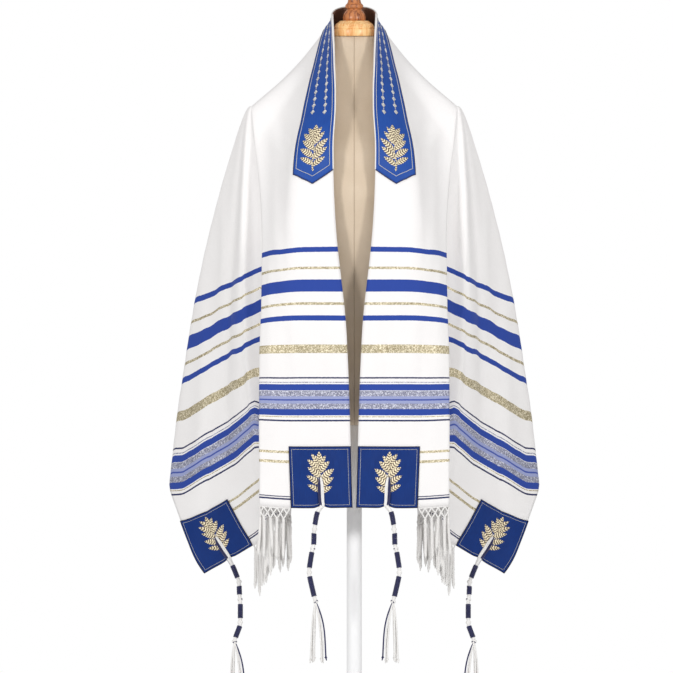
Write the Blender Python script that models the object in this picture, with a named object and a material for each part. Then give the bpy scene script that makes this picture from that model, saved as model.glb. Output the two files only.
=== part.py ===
"""A tallit prayer shawl worn on a limbless dress form with a turned wooden neck cap."""

import math
from collections import namedtuple

import bmesh
import bpy
import numpy as np
from mathutils import Vector

# Units: the tables below are in millimetres, the scene is in metres
MM = 0.001

# Flat cut of the shawl, a plain rectangle worn lengthwise round the neck
HALF_LENGTH = 915.0     # centre back to hem
WIDTH = 560.0           # neck edge to outer edge
WALL = 1.5              # cloth thickness
LAY_GAP = 0.5           # air between the cloth and a piece sewn on it
LOOSE_GAP = 0.9         # the same under the outer patches, on the deepest folds
STRIP_GAP = 0.9         # air between the hem and the fringe strip
CORD_GAP = 0.5          # air between a patch and the tassel that lies on it
TRIM_WALL = 1.0         # thickness of the neckband and the corner patches

# Sewn-on pieces
BAND_WIDTH = 66.0       # neckband, laid along the neck edge
PATCH = 101.6           # corner patches, four inch squares

# Where the shoulder line lies on the flat cloth, as length and width coordinates
NECK_LENGTH = 80.0      # side of the neck, on the neck edge
BAND_LENGTH = 84.0      # the shoulder line where it leaves the neckband
TIP_LENGTH = 255.0      # shoulder tip
TIP_WIDTH = 145.0
PLEAT_AT_HEM = 157.0    # the front pleat's edge, measured along the hem

# The top of the collar, from the side of the neck round to the centre back
COLLAR_EDGE = {"across": 36.0, "side_depth": 5.0, "back_depth": 60.0, "side_height": 1436.0, "rise": 13.5}
COLLAR_FOOT = {"across": 47.5, "side_depth": 50.0, "back_depth": 78.0, "side_height": 1411.6, "rise": -25.6}

# The front panel in sections from the shoulder (0) to the hem (1).
# Each place is across from the middle, depth (the front is negative) and height.
FrontSection = namedtuple("FrontSection", "share edge band middle pleat")
FRONT = (
    FrontSection(0.00, (36.0, 5, 1436), (47.5, 50, 1411.6), (100, 46, 1347), (170, 20, 1284)),
    FrontSection(0.10, (33.0, -50, 1368), (69.0, -6, 1340), (112, -4, 1286), (161, -18, 1214)),
    FrontSection(0.20, (31.0, -88, 1288), (85.0, -55, 1268), (120, -48, 1216), (155, -46, 1144)),
    FrontSection(0.30, (35.0, -112, 1208), (98.5, -97, 1197), (125, -80, 1143), (152.5, -66, 1074)),
    FrontSection(0.45, (30.0, -118, 1079), (101.0, -120, 1076), (127, -105, 1028), (153.5, -86, 974)),
    FrontSection(0.65, (13.0, -118, 912), (88.0, -123, 911), (122, -116, 881), (157, -100, 850)),
    FrontSection(1.00, (3.0, -118, 620), (74.5, -123, 619), (117, -121, 620), (157, -112, 623)),
)
FRONT_STARTS = {
    "edge": (0, -900, -220),
    "band": (150, -500, 0),
    "middle": (120, -700, 0),
    "pleat": (-60, -600, 0),
}

# The folds that hang from the shoulder tip, from the front pleat round to the back.
# length, width: where the fold line meets the cloth's edge on the flat cut
# bow: degrees by which the line starts wider at the tip than it ends
# across, depth, height: where its lower end hangs; belly: how far its middle stands off
# flare: how quickly it leaves the tip; lead: how much its upper part is stretched
# soft: share of the way to the next line that its crease is rounded over
TipFold = namedtuple("TipFold", "name length width bow across depth height belly flare lead soft")
TIP_FOLDS = (
    TipFold("pleat_root", 915, 258, 0, 106, -36, 606, (-29, -68), 1.2, 0.10, 0.30),
    TipFold("under_ridge", 915, 350, 0, 143, -66, 590, (4, -12), 0.65, 0.17, 0.30),
    TipFold("trough", 915, 425, 0, 150, -30, 570, (30, -39), 0.65, 0.16, 0.45),
    TipFold("side_face", 915, 510.8, 2, 207, 9, 533, (12, -22), 0.65, 0.16, 0.50),
    TipFold("corner", 915, 560, 3, 248, 22, 510, (6, -14), 0.65, 0.15, 0.50),
    TipFold("outer_edge", 813.4, 560, 6, 288, 52, 597, (0, -4), 0.65, 0.12, 0.50),
    TipFold("side_crest", 728, 560, 10, 300, 85, 677, (4, 6), 0.74, 0.06, 0.50),
    TipFold("rear_valley_1", 603, 560, 6, 236, 62, 748, (0, 4), 0.85, 0.03, 0.45),
    TipFold("rear_ridge_1", 514, 560, 4, 262, 120, 814, (0, 4), 0.85, 0.03, 0.45),
    TipFold("rear_valley_2", 431, 560, 2, 205, 80, 838, (0, 4), 0.80, 0.03, 0.45),
    TipFold("rear_ridge_2", 358.5, 560, 1, 212, 142, 876, (0, 2), 0.70, 0.03, 0.45),
    TipFold("rear_valley_3", 298.6, 560, 0, 168, 100, 874, (0, 4), 0.70, 0.03, 0.45),
    TipFold("back_ridge", 255, 560, 0, 158, 138, 886, (0, 2), 0.65, 0.03, 0.45),
)

# The back, hanging from the shoulder line and the collar to the outer edge
BackFold = namedtuple("BackFold", "length across depth height top flare soft")
BACK_FOLDS = (
    BackFold(212, 134, 106, 888, (136, 34, 1314), 0.65, 0.45),
    BackFold(168.4, 110, 140, 890, (100, 46, 1347), 0.60, 0.45),
    BackFold(125, 82, 110, 895, (66, 50, 1380), 0.60, 0.45),
    BackFold(80, 52, 138, 899, (47.5, 50, 1411.6), 0.60, 0.45),
    BackFold(40, 25, 113, 903, (33.6, 69.8, 1398.8), 0.60, 0.45),
    BackFold(0, 0, 124, 905, (0, 78, 1386), 0.60, 0.45),
)

# Rows of the cloth's mesh as shares of each hanging line, close where it rolls over the shoulder
BAND_END = 0.335
BAND_TIP = 0.364
PATCH_TOP = 1 - PATCH / (HALF_LENGTH - NECK_LENGTH)
ROWS = (0, 0.012, 0.03, 0.06, 0.1, 0.15, 0.21, 0.28, BAND_END, BAND_TIP, 0.45, 0.55, 0.66, 0.77, PATCH_TOP, 0.93, 0.965, 1)
COLLAR_ROWS = 4
COLLAR_LENGTHS = (NECK_LENGTH, 60, 40, 20, 0)       # columns of the collar, from the side round to the back
SHOULDER_LENGTHS = (BAND_LENGTH, 103, 125, 135, 168.4, 190, 212, 233, 248, TIP_LENGTH)
PATCH_COLUMN = 3        # the shoulder column that meets the inner patch's side
PATCH_TRIM = 4.0        # how much of the outer patch's two thin corners is cut off
FIRST_FAN = (8, 20, 48)             # columns just behind the front pleat, measured from it
BEFORE_ROOT, BEFORE_RIDGE = 30, 26  # columns just before the first two folds
PATCH_STEPS = 401                   # steps in which the outer patch's upper side is found
AFTER_PATCH = 24                    # a column just outside the outer patch's inner side
WIDE_GAP = 100                      # folds further apart than this have two more columns between them
CLOSE_TO_PATCH = 10                 # a column nearer than this to the patch's side is left out

# Dress form: sections of the torso from the hip up to the neck
TorsoSection = namedtuple("TorsoSection", "height half_width front back")
TORSO = (
    TorsoSection(756, 126, 78, 84),
    TorsoSection(775, 134, 84, 90),
    TorsoSection(850, 134, 86, 92),
    TorsoSection(960, 108, 76, 74),
    TorsoSection(1050, 119, 92, 81),
    TorsoSection(1140, 134, 104, 87),
    TorsoSection(1210, 130, 90, 86.5),
    TorsoSection(1258, 117, 62, 82),
    TorsoSection(1278, 108, 50, 77),
    TorsoSection(1300, 92, 43, 69),
    TorsoSection(1325, 72, 38, 60),
    TorsoSection(1352, 50, 33, 52),
    TorsoSection(1380, 39, 30, 46),
    TorsoSection(1399, 36, 28, 44),
)
TORSO_SIDES = 40
TORSO_POWER = 2.3       # a little squarer than an ellipse
FORM_AXIS = 8.0         # the neck stands this far behind the middle

# Turned wood, as radius and height
CAP_PROFILE = ((34.0, 1399.5), (34.5, 1403), (34.5, 1410), (33.0, 1412), (33.0, 1418), (29.0, 1421), (28.7, 1425))
FINIAL_PROFILE = (
    (17.0, 1425.3), (17.8, 1431), (16.4, 1438), (12.0, 1444), (14.8, 1447), (14.8, 1451), (11.2, 1455),
    (10.2, 1461), (12.4, 1468), (19.0, 1478), (21.6, 1489), (19.6, 1500), (13.4, 1509), (5.0, 1514.6),
)
TURNED_SIDES = 28
SHARP_ANGLE = 45.0      # edges sharper than this stay sharp in the shading

# Stand
POLE_RADIUS = 12.5
POLE_SIDES = 20
BASE_RADIUS = 180.0
BASE_THICKNESS = 8.0
BASE_EDGE = 2.0
BASE_SIDES = 48
STAND_GAP = 0.3

# Knotted corner tassels: where each hangs below its patch, and how thick it is there
TasselTurn = namedtuple("TasselTurn", "across height radius")
INNER_TASSEL = (
    TasselTurn(60.9, 612, 4.5), TasselTurn(64.8, 593, 4.5), TasselTurn(65.5, 585, 5.1), TasselTurn(66.5, 577, 4.5),
    TasselTurn(66.9, 560, 4.5), TasselTurn(68.5, 553, 5.1), TasselTurn(70.3, 545, 4.5), TasselTurn(73.9, 522, 4.5),
    TasselTurn(74.3, 514, 5.1), TasselTurn(73.6, 506, 4.5), TasselTurn(66.5, 475, 4.5), TasselTurn(64.0, 466, 5.2),
)
OUTER_TASSEL = (
    TasselTurn(201.0, 522, 4.5), TasselTurn(194.0, 505, 4.5), TasselTurn(191.0, 497, 5.1), TasselTurn(190.5, 489, 4.5),
    TasselTurn(190.0, 476, 4.5), TasselTurn(189.0, 468, 5.1), TasselTurn(188.6, 459, 4.5), TasselTurn(188.6, 438, 4.5),
    TasselTurn(188.8, 430, 5.1), TasselTurn(190.0, 422, 4.5), TasselTurn(196.0, 406, 4.5), TasselTurn(198.0, 398, 5.2),
)
TASSEL_SIDES = 8
STRAND_LENGTH = 104.0
STRAND_STEPS = 5
STRAND_SPREAD = 11.0
STRAND_EASE = (0.45, 0.3, 0.15, 0.07, 0.03)         # share of the spread taken in each step
STRAND_UNEVEN, STRAND_TURN = 0.04, 2.1
STRAND_INSET = 0.25     # air between the strands where they leave the end knot
TASSEL_LEAN = 3.0       # how far behind its patch's front the hanging part swings
EYELET_RADIUS = 3.0

# Hem fringe
FRINGE_LOCKS = 34       # on each hem, between its two patches
STRIP_HEIGHT = 10.0
LOCK_LENGTH = 94.0
LOCK_TAPER = (0.9, 0.85, 0.6)
LOCK_UNEVEN = ((0.10, 2.4, 0), (0.05, 5.1, 1))      # waves along the hem that make the locks uneven

# Colours and finishes: red, green, blue, roughness
FINISHES = {
    "white_cloth": (0.88, 0.87, 0.86, 0.75),
    "blue_satin": (0.03, 0.09, 0.40, 0.42),
    "white_cord": (0.86, 0.85, 0.83, 0.8),
    "tassel_cord": (0.45, 0.45, 0.55, 0.7),
    "linen": (0.72, 0.65, 0.52, 0.85),
    "light_wood": (0.78, 0.46, 0.20, 0.45),
    "brown_wood": (0.36, 0.15, 0.06, 0.4),
    "white_paint": (0.86, 0.86, 0.86, 0.5),
}

TIP = np.array([FRONT[0].pleat[0], FRONT[0].pleat[1], FRONT[0].pleat[2]], float)
FRONT_REACH = HALF_LENGTH - TIP_LENGTH      # shoulder tip to hem
BACK_REACH = WIDTH - TIP_WIDTH              # shoulder tip to outer edge
CORNER_PLACE = WIDTH                        # places are measured round the cloth's edge from the front corner
TIP_PLACE = CORNER_PLACE + FRONT_REACH      # where the edge passes under the shoulder tip
BACK_PLACE = CORNER_PLACE + HALF_LENGTH     # centre back
ROLL = 0.02                                 # how much of a line rolls over the shoulder
ROLL_FADE = 12                              # how soon a line leaves the fitted shoulder line
CORRECTIONS = 12                            # steps that find a flat point on the side panel
SEAM_MERGE = 0.05                           # points of neighbouring grids closer than this are one
SAME_POINT = 0.001
MITRE_EASE = 0.01                           # keeps the mitre steady on a flat sheet
MITRE_REACH = 1.5                           # longest mitre, in wall thicknesses
FAN_FADE = 7                                # how soon the plain fan at the tip gives way to the folds
FAN_START, FAN_END = -96.0, 96.0            # degrees from the wearer's side, front pleat to back
FAN_FRONT, FAN_SIDE, FAN_BACK = 132.0, 112.0, 118.0
FAN_FLARE = 0.65


# Drape of the cloth

def place_of(fold):
    """Distance round the cloth's edge from the front corner to the lower end of a fold line."""
    if fold.length == HALF_LENGTH:
        return fold.width
    return CORNER_PLACE + HALF_LENGTH - fold.length


def reach_of(place):
    """Length of the hanging line that ends at this place on the edge, shoulder tip lines as they are."""
    place = np.asarray(place, float)
    hem_part = np.hypot(FRONT_REACH, place - TIP_WIDTH)
    edge_part = np.hypot(BACK_REACH, np.maximum(TIP_PLACE - place, 0))
    reach = np.where(place <= PLEAT_AT_HEM, FRONT_REACH, np.where(place <= CORNER_PLACE, hem_part, edge_part))
    return np.where(place >= TIP_PLACE, BACK_REACH, reach)


def smooth_track(shares, values, start, wanted):
    """Cubic curve through the sections of the front panel; it runs on straight below the last one."""
    shares = np.array(shares, float)
    values = np.array(values, float)
    slopes = np.empty_like(values)
    slopes[0] = start
    slopes[1:-1] = (values[2:] - values[:-2]) / (shares[2:] - shares[:-2])[:, None]
    slopes[-1] = (values[-1] - values[-2]) / (shares[-1] - shares[-2])
    inside = np.minimum(wanted, 1.0)
    span = np.clip(np.searchsorted(shares, inside, side="right") - 1, 0, len(shares) - 2)
    width = (shares[span + 1] - shares[span])[..., None]
    t = (inside - shares[span])[..., None] / width
    near = (1 + 2 * t) * (1 - t) ** 2 * values[span] + t * (1 - t) ** 2 * width * slopes[span]
    far = t ** 2 * (3 - 2 * t) * values[span + 1] + t ** 2 * (t - 1) * width * slopes[span + 1]
    return near + far + (wanted - inside)[..., None] * slopes[-1]


def hanging_track(top, end, belly, flare, lead, share):
    """A line that leaves its top flat, swings out and then hangs down to its end."""
    top = np.array(top, float)
    swing = share ** flare
    sag = 4 * share * (1 - np.minimum(share, 1.0))
    fall = (share + lead * share * (1 - share)) * share * (1 + ROLL) / (share + ROLL)
    across = top[0] + (end[0] - top[0]) * swing + belly[0] * sag
    depth = top[1] + (end[1] - top[1]) * swing + belly[1] * sag
    height = top[2] + (end[2] - top[2]) * fall
    return np.stack([across, depth, height], axis=-1)


def plain_fan(fold, place, share):
    """The same line with no folds: an even fan round the shoulder tip."""
    turn = math.radians(np.interp(place, (PLEAT_AT_HEM, TIP_PLACE), (FAN_START, FAN_END)))
    depth = FAN_FRONT if turn < 0 else FAN_BACK
    end = (TIP[0] + FAN_SIDE * math.cos(turn), TIP[1] + depth * math.sin(turn), fold.height)
    return hanging_track(TIP, end, (0, 0), FAN_FLARE, 0.1, share)


def line_tracks(distance):
    """Places, softness and the position of every fold line at this distance below the shoulder."""
    places, softs, tracks = [], [], []
    shares = [section.share for section in FRONT]
    hem_scale = PLEAT_AT_HEM / TIP_WIDTH
    front_lines = (("edge", 0.0, 0.0), ("band", BAND_WIDTH, 0.5), ("middle", 105.0, 0.5), ("pleat", TIP_WIDTH, 0.2))
    for name, width, soft in front_lines:
        values = [getattr(section, name) for section in FRONT]
        places.append(width * hem_scale)
        softs.append(soft)
        tracks.append(smooth_track(shares, values, FRONT_STARTS[name], distance / FRONT_REACH))
    for fold in TIP_FOLDS:
        place = place_of(fold)
        end = (fold.across, fold.depth, fold.height)
        places.append(place)
        softs.append(fold.soft)
        share = distance / reach_of(place)
        folded = hanging_track(TIP, end, fold.belly, fold.flare, fold.lead, share)
        fan = (np.maximum(1 - share, 0) ** FAN_FADE)[..., None]
        tracks.append(folded * (1 - fan) + plain_fan(fold, place, share) * fan)
    for fold in BACK_FOLDS:
        end = (fold.across, fold.depth, fold.height)
        places.append(BACK_PLACE - fold.length)
        softs.append(fold.soft)
        tracks.append(hanging_track(fold.top, end, (0, 0), fold.flare, 0.0, distance / BACK_REACH))
    mirrored = tracks[-2] * np.array([-1, 1, 1])    # the other half's first line, so that the middle is smooth
    places.append(2 * BACK_PLACE - places[-2])
    softs.append(0.0)
    tracks.append(mirrored)
    return np.array(places), np.array(softs), np.stack(tracks, axis=-2)


def turn_share(before, after, offset):
    """Share of a rounded turn reached at this distance from where it begins."""
    if abs(after - before) < 1e-6:
        return offset / (2 * before)
    return (math.sqrt(max(before ** 2 + (after - before) * offset, 0)) - before) / (after - before)


def line_weights(places, softs, wanted):
    """How much each fold line counts at the wanted places: straight between lines, rounded at each."""
    count = len(places)
    gaps = np.diff(places)
    through = np.eye(count)
    for j in range(1, count - 1):
        if softs[j] == 0:
            continue
        t = turn_share(softs[j] * gaps[j - 1], softs[j] * gaps[j], softs[j] * gaps[j - 1])
        before = (1 - t) ** 2 * softs[j]
        after = t ** 2 * softs[j]
        through[j, j - 1:j + 2] = before, 1 - before - after, after
    controls = np.linalg.inv(through)
    weights = np.zeros((len(wanted), count))
    for i, place in enumerate(wanted):
        j = int(np.clip(np.searchsorted(places, place, side="right") - 1, 0, count - 2))
        along = (place - places[j]) / gaps[j]
        turn = j if along < softs[j] else j + 1 if along > 1 - softs[j + 1] else None
        if turn is None or turn in (0, count - 1):
            weights[i] = (1 - along) * controls[j] + along * controls[j + 1]
            continue
        before = softs[turn] * gaps[turn - 1]
        t = turn_share(before, softs[turn] * gaps[turn], place - (places[turn] - before))
        enter = controls[turn] + (controls[turn - 1] - controls[turn]) * softs[turn]
        leave = controls[turn] + (controls[turn + 1] - controls[turn]) * softs[turn]
        weights[i] = (1 - t) ** 2 * enter + 2 * t * (1 - t) * controls[turn] + t ** 2 * leave
    return weights


def raw_drape(place, share):
    """Drape before its top row is fitted to the shoulder line. Both arguments are equal-length arrays."""
    places, softs, tracks = line_tracks(share * reach_of(place))
    weights = line_weights(places, softs, place)
    return np.einsum("ij,ijk->ik", weights, tracks)


def collar_curve(curve, length):
    """A level line of the collar, at this length from the centre back."""
    turn = np.asarray(length, float) / NECK_LENGTH * math.pi / 2
    back = np.cos(turn)
    across = curve["across"] * np.sin(turn)
    depth = curve["side_depth"] + (curve["back_depth"] - curve["side_depth"]) * back
    rise = back if curve["rise"] > 0 else back ** 2
    return np.stack([across, depth, curve["side_height"] + curve["rise"] * rise], axis=-1)


def shoulder_place(length):
    """Place of the front line that shares its top with the back line at this length."""
    width = np.interp(length, (BAND_LENGTH, TIP_LENGTH), (BAND_WIDTH, TIP_WIDTH))
    return width * PLEAT_AT_HEM / TIP_WIDTH


def top_of(place):
    """Top of each hanging line: the shoulder line, the shoulder tip or the collar's foot."""
    place = np.asarray(place, float)
    length = BACK_PLACE - place
    over = np.where(place > TIP_PLACE, shoulder_place(length), np.minimum(place, PLEAT_AT_HEM))
    top = raw_drape(over, np.zeros(len(over)))
    at_tip = (over >= PLEAT_AT_HEM - 1e-6)
    top[at_tip] = TIP
    foot = (place > TIP_PLACE) & (length < NECK_LENGTH)
    top[foot] = collar(length[foot], np.full(foot.sum(), BAND_WIDTH))
    return top


def drape(place, share):
    """Position of the cloth on the hanging line that ends at place, at this share of its length."""
    place = np.asarray(place, float)
    share = np.asarray(share, float)
    raw = raw_drape(place, share)
    off = top_of(place) - raw_drape(place, np.zeros(len(place)))
    points = raw + off * ((1 - share) ** ROLL_FADE)[:, None]
    points[place >= BACK_PLACE, 0] = 0.0
    return points


def lifted(place, share, lift):
    """Points this far outside the cloth."""
    place = np.asarray(place, float)
    share = np.asarray(share, float)
    along = drape(place + 1, share) - drape(place - 1, share)
    down = drape(place, share + 0.002) - drape(place, share - 0.002)
    normal = np.cross(down, along)
    return drape(place, share) + normal / np.linalg.norm(normal, axis=1, keepdims=True) * lift


def collar(length, width):
    """Position on the standing collar, between its edge and its foot."""
    length = np.asarray(length, float)
    width = np.asarray(width, float)
    rise = (width / BAND_WIDTH)[:, None]
    sheet = collar_curve(COLLAR_EDGE, length) * (1 - rise) + collar_curve(COLLAR_FOOT, length) * rise
    full = np.full(len(length), NECK_LENGTH)
    side = collar_curve(COLLAR_EDGE, full) * (1 - rise) + collar_curve(COLLAR_FOOT, full) * rise
    front_top = raw_drape(width * PLEAT_AT_HEM / TIP_WIDTH, np.zeros(len(width)))
    return sheet + (front_top - side) * ((length / NECK_LENGTH) ** 2)[:, None]


def bow_of(place):
    """Degrees by which the flat line to this place starts wider than it ends."""
    names = [place_of(fold) for fold in TIP_FOLDS]
    return np.interp(place, [PLEAT_AT_HEM] + names, [0.0] + [fold.bow for fold in TIP_FOLDS])


def flat_of(place, share):
    """Length and width on the flat cut of a point on a line that hangs from the shoulder tip."""
    end_length = np.where(place <= CORNER_PLACE, HALF_LENGTH, BACK_PLACE - place)
    end_width = np.minimum(place, WIDTH)
    angle = np.arctan2(end_width - TIP_WIDTH, end_length - TIP_LENGTH)
    angle = angle + np.radians(bow_of(place)) * (1 - share)
    reach = share * reach_of(place)
    return TIP_LENGTH + reach * np.cos(angle), TIP_WIDTH + reach * np.sin(angle)


def side_panel_at(length, width):
    """Place and share of a flat point on the side panel, found by repeated correction."""
    place = np.full(len(length), CORNER_PLACE)
    share = np.full(len(length), 0.9)
    for _ in range(CORRECTIONS):
        angle = np.arctan2(width - TIP_WIDTH, length - TIP_LENGTH) - np.radians(bow_of(place)) * (1 - share)
        hem = TIP_WIDTH + FRONT_REACH * np.tan(angle)
        edge = TIP_PLACE - BACK_REACH / np.tan(angle)
        place = np.where(hem <= WIDTH, hem, edge)
        share = np.hypot(length - TIP_LENGTH, width - TIP_WIDTH) / reach_of(place)
    return place, share


# Meshes

def shade(mesh):
    mesh.shade_smooth()
    mesh.set_sharp_from_angle(angle=math.radians(SHARP_ANGLE))


def new_object(name, mesh, finish):
    obj = bpy.data.objects.new(name, mesh)
    bpy.context.collection.objects.link(obj)
    material = bpy.data.materials.get(finish)
    if material is None:
        red, green, blue, roughness = FINISHES[finish]
        material = bpy.data.materials.new(finish)
        material.use_nodes = True
        shader = material.node_tree.nodes["Principled BSDF"]
        shader.inputs["Base Color"].default_value = (red, green, blue, 1)
        shader.inputs["Roughness"].default_value = roughness
        shader.inputs["Metallic"].default_value = 0.0
    mesh.materials.append(material)
    return obj


def add_grid(bm, points, side):
    """Triangles over a grid of points, in millimetres, split the same way on the wearer's two sides."""
    made = [[bm.verts.new(Vector(point) * MM) for point in line] for line in points]
    for first, second in zip(made, made[1:]):
        for a, b, c, d in zip(first, first[1:], second[1:], second):
            for corners in ((a, b, c), (a, c, d)):
                bm.faces.new(corners if side > 0 else corners[::-1])


def on_both_sides(bm, points):
    """The same grid on the wearer's two sides, faces outwards."""
    add_grid(bm, points, 1)
    add_grid(bm, np.array(points) * np.array([-1, 1, 1]), -1)


def finished_mesh(name, bm):
    bmesh.ops.remove_doubles(bm, verts=bm.verts, dist=SAME_POINT * MM)
    mesh = bpy.data.meshes.new(name)
    bm.to_mesh(mesh)
    bm.free()
    return mesh


def mitre(vert):
    """Direction in which a wall stands off a vertex, so that it is equally thick on the faces round it."""
    normals = np.array([face.normal for face in vert.link_faces])
    pull = normals.T @ normals + np.eye(3) * MITRE_EASE * len(normals)
    offset = np.linalg.solve(pull, normals.sum(axis=0))
    return Vector(offset * min(1, MITRE_REACH / np.linalg.norm(offset)))


def thicken(bm, thickness):
    """Turns an open sheet into a closed wall; a positive thickness stands outside the sheet."""
    bmesh.ops.remove_doubles(bm, verts=bm.verts, dist=SEAM_MERGE * MM)
    bm.normal_update()
    sheet = list(bm.faces)
    rim = [edge for edge in bm.edges if edge.is_boundary]
    rim = [(loop.vert, loop.link_loop_next.vert) for loop in (edge.link_loops[0] for edge in rim)]
    offsets = [(vert, mitre(vert) * thickness * MM) for vert in bm.verts]
    other = {vert: bm.verts.new(vert.co + offset) for vert, offset in offsets}
    for face in sheet:
        bm.faces.new([other[vert] for vert in reversed(face.verts)])
    for start, end in rim:
        bm.faces.new((end, start, other[start], other[end]))
    if thickness > 0:
        bmesh.ops.reverse_faces(bm, faces=bm.faces)
    return bm


def cloth_places():
    """Places of the cloth's columns: the front, the folds under the tip, and the back."""
    hem_scale = PLEAT_AT_HEM / TIP_WIDTH
    band = [BAND_WIDTH * hem_scale * i / COLLAR_ROWS for i in range(COLLAR_ROWS)]
    shoulder = np.array(SHOULDER_LENGTHS, float)
    shoulder[PATCH_COLUMN] = np.interp(PATCH / hem_scale, (BAND_WIDTH, TIP_WIDTH), (BAND_LENGTH, TIP_LENGTH))
    front = band + list(shoulder_place(shoulder))
    folds = [place_of(fold) for fold in TIP_FOLDS]
    softs = [fold.soft for fold in TIP_FOLDS]
    fan = [PLEAT_AT_HEM + step for step in FIRST_FAN]
    for i, place in enumerate(folds[:-1]):
        gap = folds[i + 1] - place
        fan.append(place)
        if softs[i] < 0.4:
            fan.append(place + softs[i] * gap)
        if abs(place + 0.5 * gap - WIDTH + PATCH) > CLOSE_TO_PATCH:
            fan.append(place + 0.5 * gap)
        if gap > WIDE_GAP:
            fan.append(place + 0.25 * gap)
            fan.append(place + 0.75 * gap)
    patch_side = WIDTH - PATCH + PATCH_TRIM
    fan += [folds[0] - BEFORE_ROOT, folds[1] - BEFORE_RIDGE, patch_side, patch_side + AFTER_PATCH]
    fan.append(CORNER_PLACE + PATCH - PATCH_TRIM)
    back = list(BACK_PLACE - shoulder[::-1]) + list(BACK_PLACE - np.array(COLLAR_LENGTHS[1:]))
    return front, sorted(fan), back


def collar_grid():
    """Points of the collar, from the side of the neck round to the centre back."""
    widths = np.linspace(0, BAND_WIDTH, COLLAR_ROWS + 1)
    grid_lengths, grid_widths = np.meshgrid(COLLAR_LENGTHS, widths, indexing="ij")
    return collar(grid_lengths.ravel(), grid_widths.ravel()).reshape(len(COLLAR_LENGTHS), len(widths), 3)


def make_shawl():
    front, fan, back = cloth_places()
    places = np.array(front + fan + back)
    rows = np.array(ROWS)
    grid_places, grid_rows = np.meshgrid(places, rows, indexing="ij")
    points = drape(grid_places.ravel(), grid_rows.ravel()).reshape(len(places), len(rows), 3)
    bm = bmesh.new()
    on_both_sides(bm, points)
    on_both_sides(bm, collar_grid())
    new_object("shawl_cloth", finished_mesh("shawl_cloth", thicken(bm, -WALL)), "white_cloth")


def drape_normals(points):
    """Outward directions over a grid of points, from its neighbours."""
    along = np.gradient(points, axis=0)
    down = np.gradient(points, axis=1)
    normal = np.cross(down, along)
    return normal / np.linalg.norm(normal, axis=2, keepdims=True)


def plate(name, points, finish, side):
    """A patch of cloth sewn on the shawl, from points a little outside the shawl."""
    bm = bmesh.new()
    add_grid(bm, points * np.array([side, 1, 1]), side)
    new_object(name, finished_mesh(name, thicken(bm, TRIM_WALL)), finish)


def inner_patch_points():
    """The front corner patch, over the cloth's own columns and rows at the hem."""
    front = np.array([place for place in cloth_places()[0] if place <= PATCH + 0.5])
    rows = np.array([row for row in ROWS if row >= PATCH_TOP])
    front[0], front[-1] = 0.0, PATCH
    grid_places, grid_rows = np.meshgrid(front, rows, indexing="ij")
    return lifted(grid_places.ravel(), grid_rows.ravel(), LAY_GAP).reshape(len(front), len(rows), 3)


def outer_patch_points():
    """The outer corner patch, over the cloth's own columns from its upper and inner sides to the corner."""
    inner, top = WIDTH - PATCH, HALF_LENGTH - PATCH
    corner_place = float(side_panel_at(np.array([top]), np.array([inner]))[0][0])
    first, last = inner + PATCH_TRIM, CORNER_PLACE + PATCH - PATCH_TRIM
    own = [place for place in cloth_places()[1] if first + 1 < place < last - 1]
    own = [place for place in own if abs(place - corner_place) > 1]
    places = np.array(sorted([first, last, corner_place] + own))
    starts = []
    shares = np.linspace(0.8, 1, PATCH_STEPS)
    for place in places:
        length, width = flat_of(np.full(PATCH_STEPS, place), shares)
        within = (length >= top) & (width >= inner)
        starts.append(shares[int(np.argmax(within))] if within.any() else shares[-2])
    rows = np.array([0.0] + [row for row in ROWS if row > min(starts)])
    grid_places = np.repeat(places, len(rows))
    grid_shares = np.concatenate([np.maximum(start, rows) for start in starts])
    return lifted(grid_places, grid_shares, LOOSE_GAP).reshape(len(places), len(rows), 3)


def make_patches():
    for side, hand in ((-1, "right"), (1, "left")):
        plate(f"inner_patch_{hand}", inner_patch_points(), "blue_satin", side)
        plate(f"outer_patch_{hand}", outer_patch_points(), "blue_satin", side)


def make_neckband():
    """The neckband follows the collar and the front edges and ends in a blunt point on each side."""
    hem_scale = PLEAT_AT_HEM / TIP_WIDTH
    places = np.linspace(0, BAND_WIDTH * hem_scale, COLLAR_ROWS + 1)
    rows = np.array([row for row in ROWS if row <= BAND_END])
    grid_places, grid_rows = np.meshgrid(places, rows, indexing="ij")
    hang = drape(grid_places.ravel(), grid_rows.ravel()).reshape(len(places), len(rows), 3)
    middle = COLLAR_ROWS // 2
    point_rows = np.interp(places, (places[0], places[middle], places[-1]), (BAND_END, BAND_TIP, BAND_END))
    point = drape(places, point_rows)
    bm = bmesh.new()
    whole = np.concatenate([collar_grid()[::-1].transpose(1, 0, 2), hang[:, 1:]], axis=1)
    normals = drape_normals(whole)
    whole = np.concatenate([whole + normals * LAY_GAP, (point + normals[:, -1] * LAY_GAP)[:, None]], axis=1)
    whole[:, 0, 0] = 0.0
    on_both_sides(bm, whole)
    new_object("neckband", finished_mesh("neckband", thicken(bm, TRIM_WALL)), "blue_satin")


def level_normals(points):
    """Sideways outward direction along a level line of points."""
    along = np.gradient(points, axis=0)
    normal = np.stack([along[:, 1], -along[:, 0], np.zeros(len(points))], axis=-1)
    return normal / np.linalg.norm(normal, axis=1, keepdims=True)


def hem_line(places):
    """Points on the cloth's own hem, which runs straight from column to column."""
    front, fan, _ = cloth_places()
    columns = np.array([place for place in front + fan if place <= CORNER_PLACE])
    line = drape(columns, np.ones(len(columns)))
    return np.stack([np.interp(places, columns, line[:, k]) for k in range(3)], axis=-1)


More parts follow.
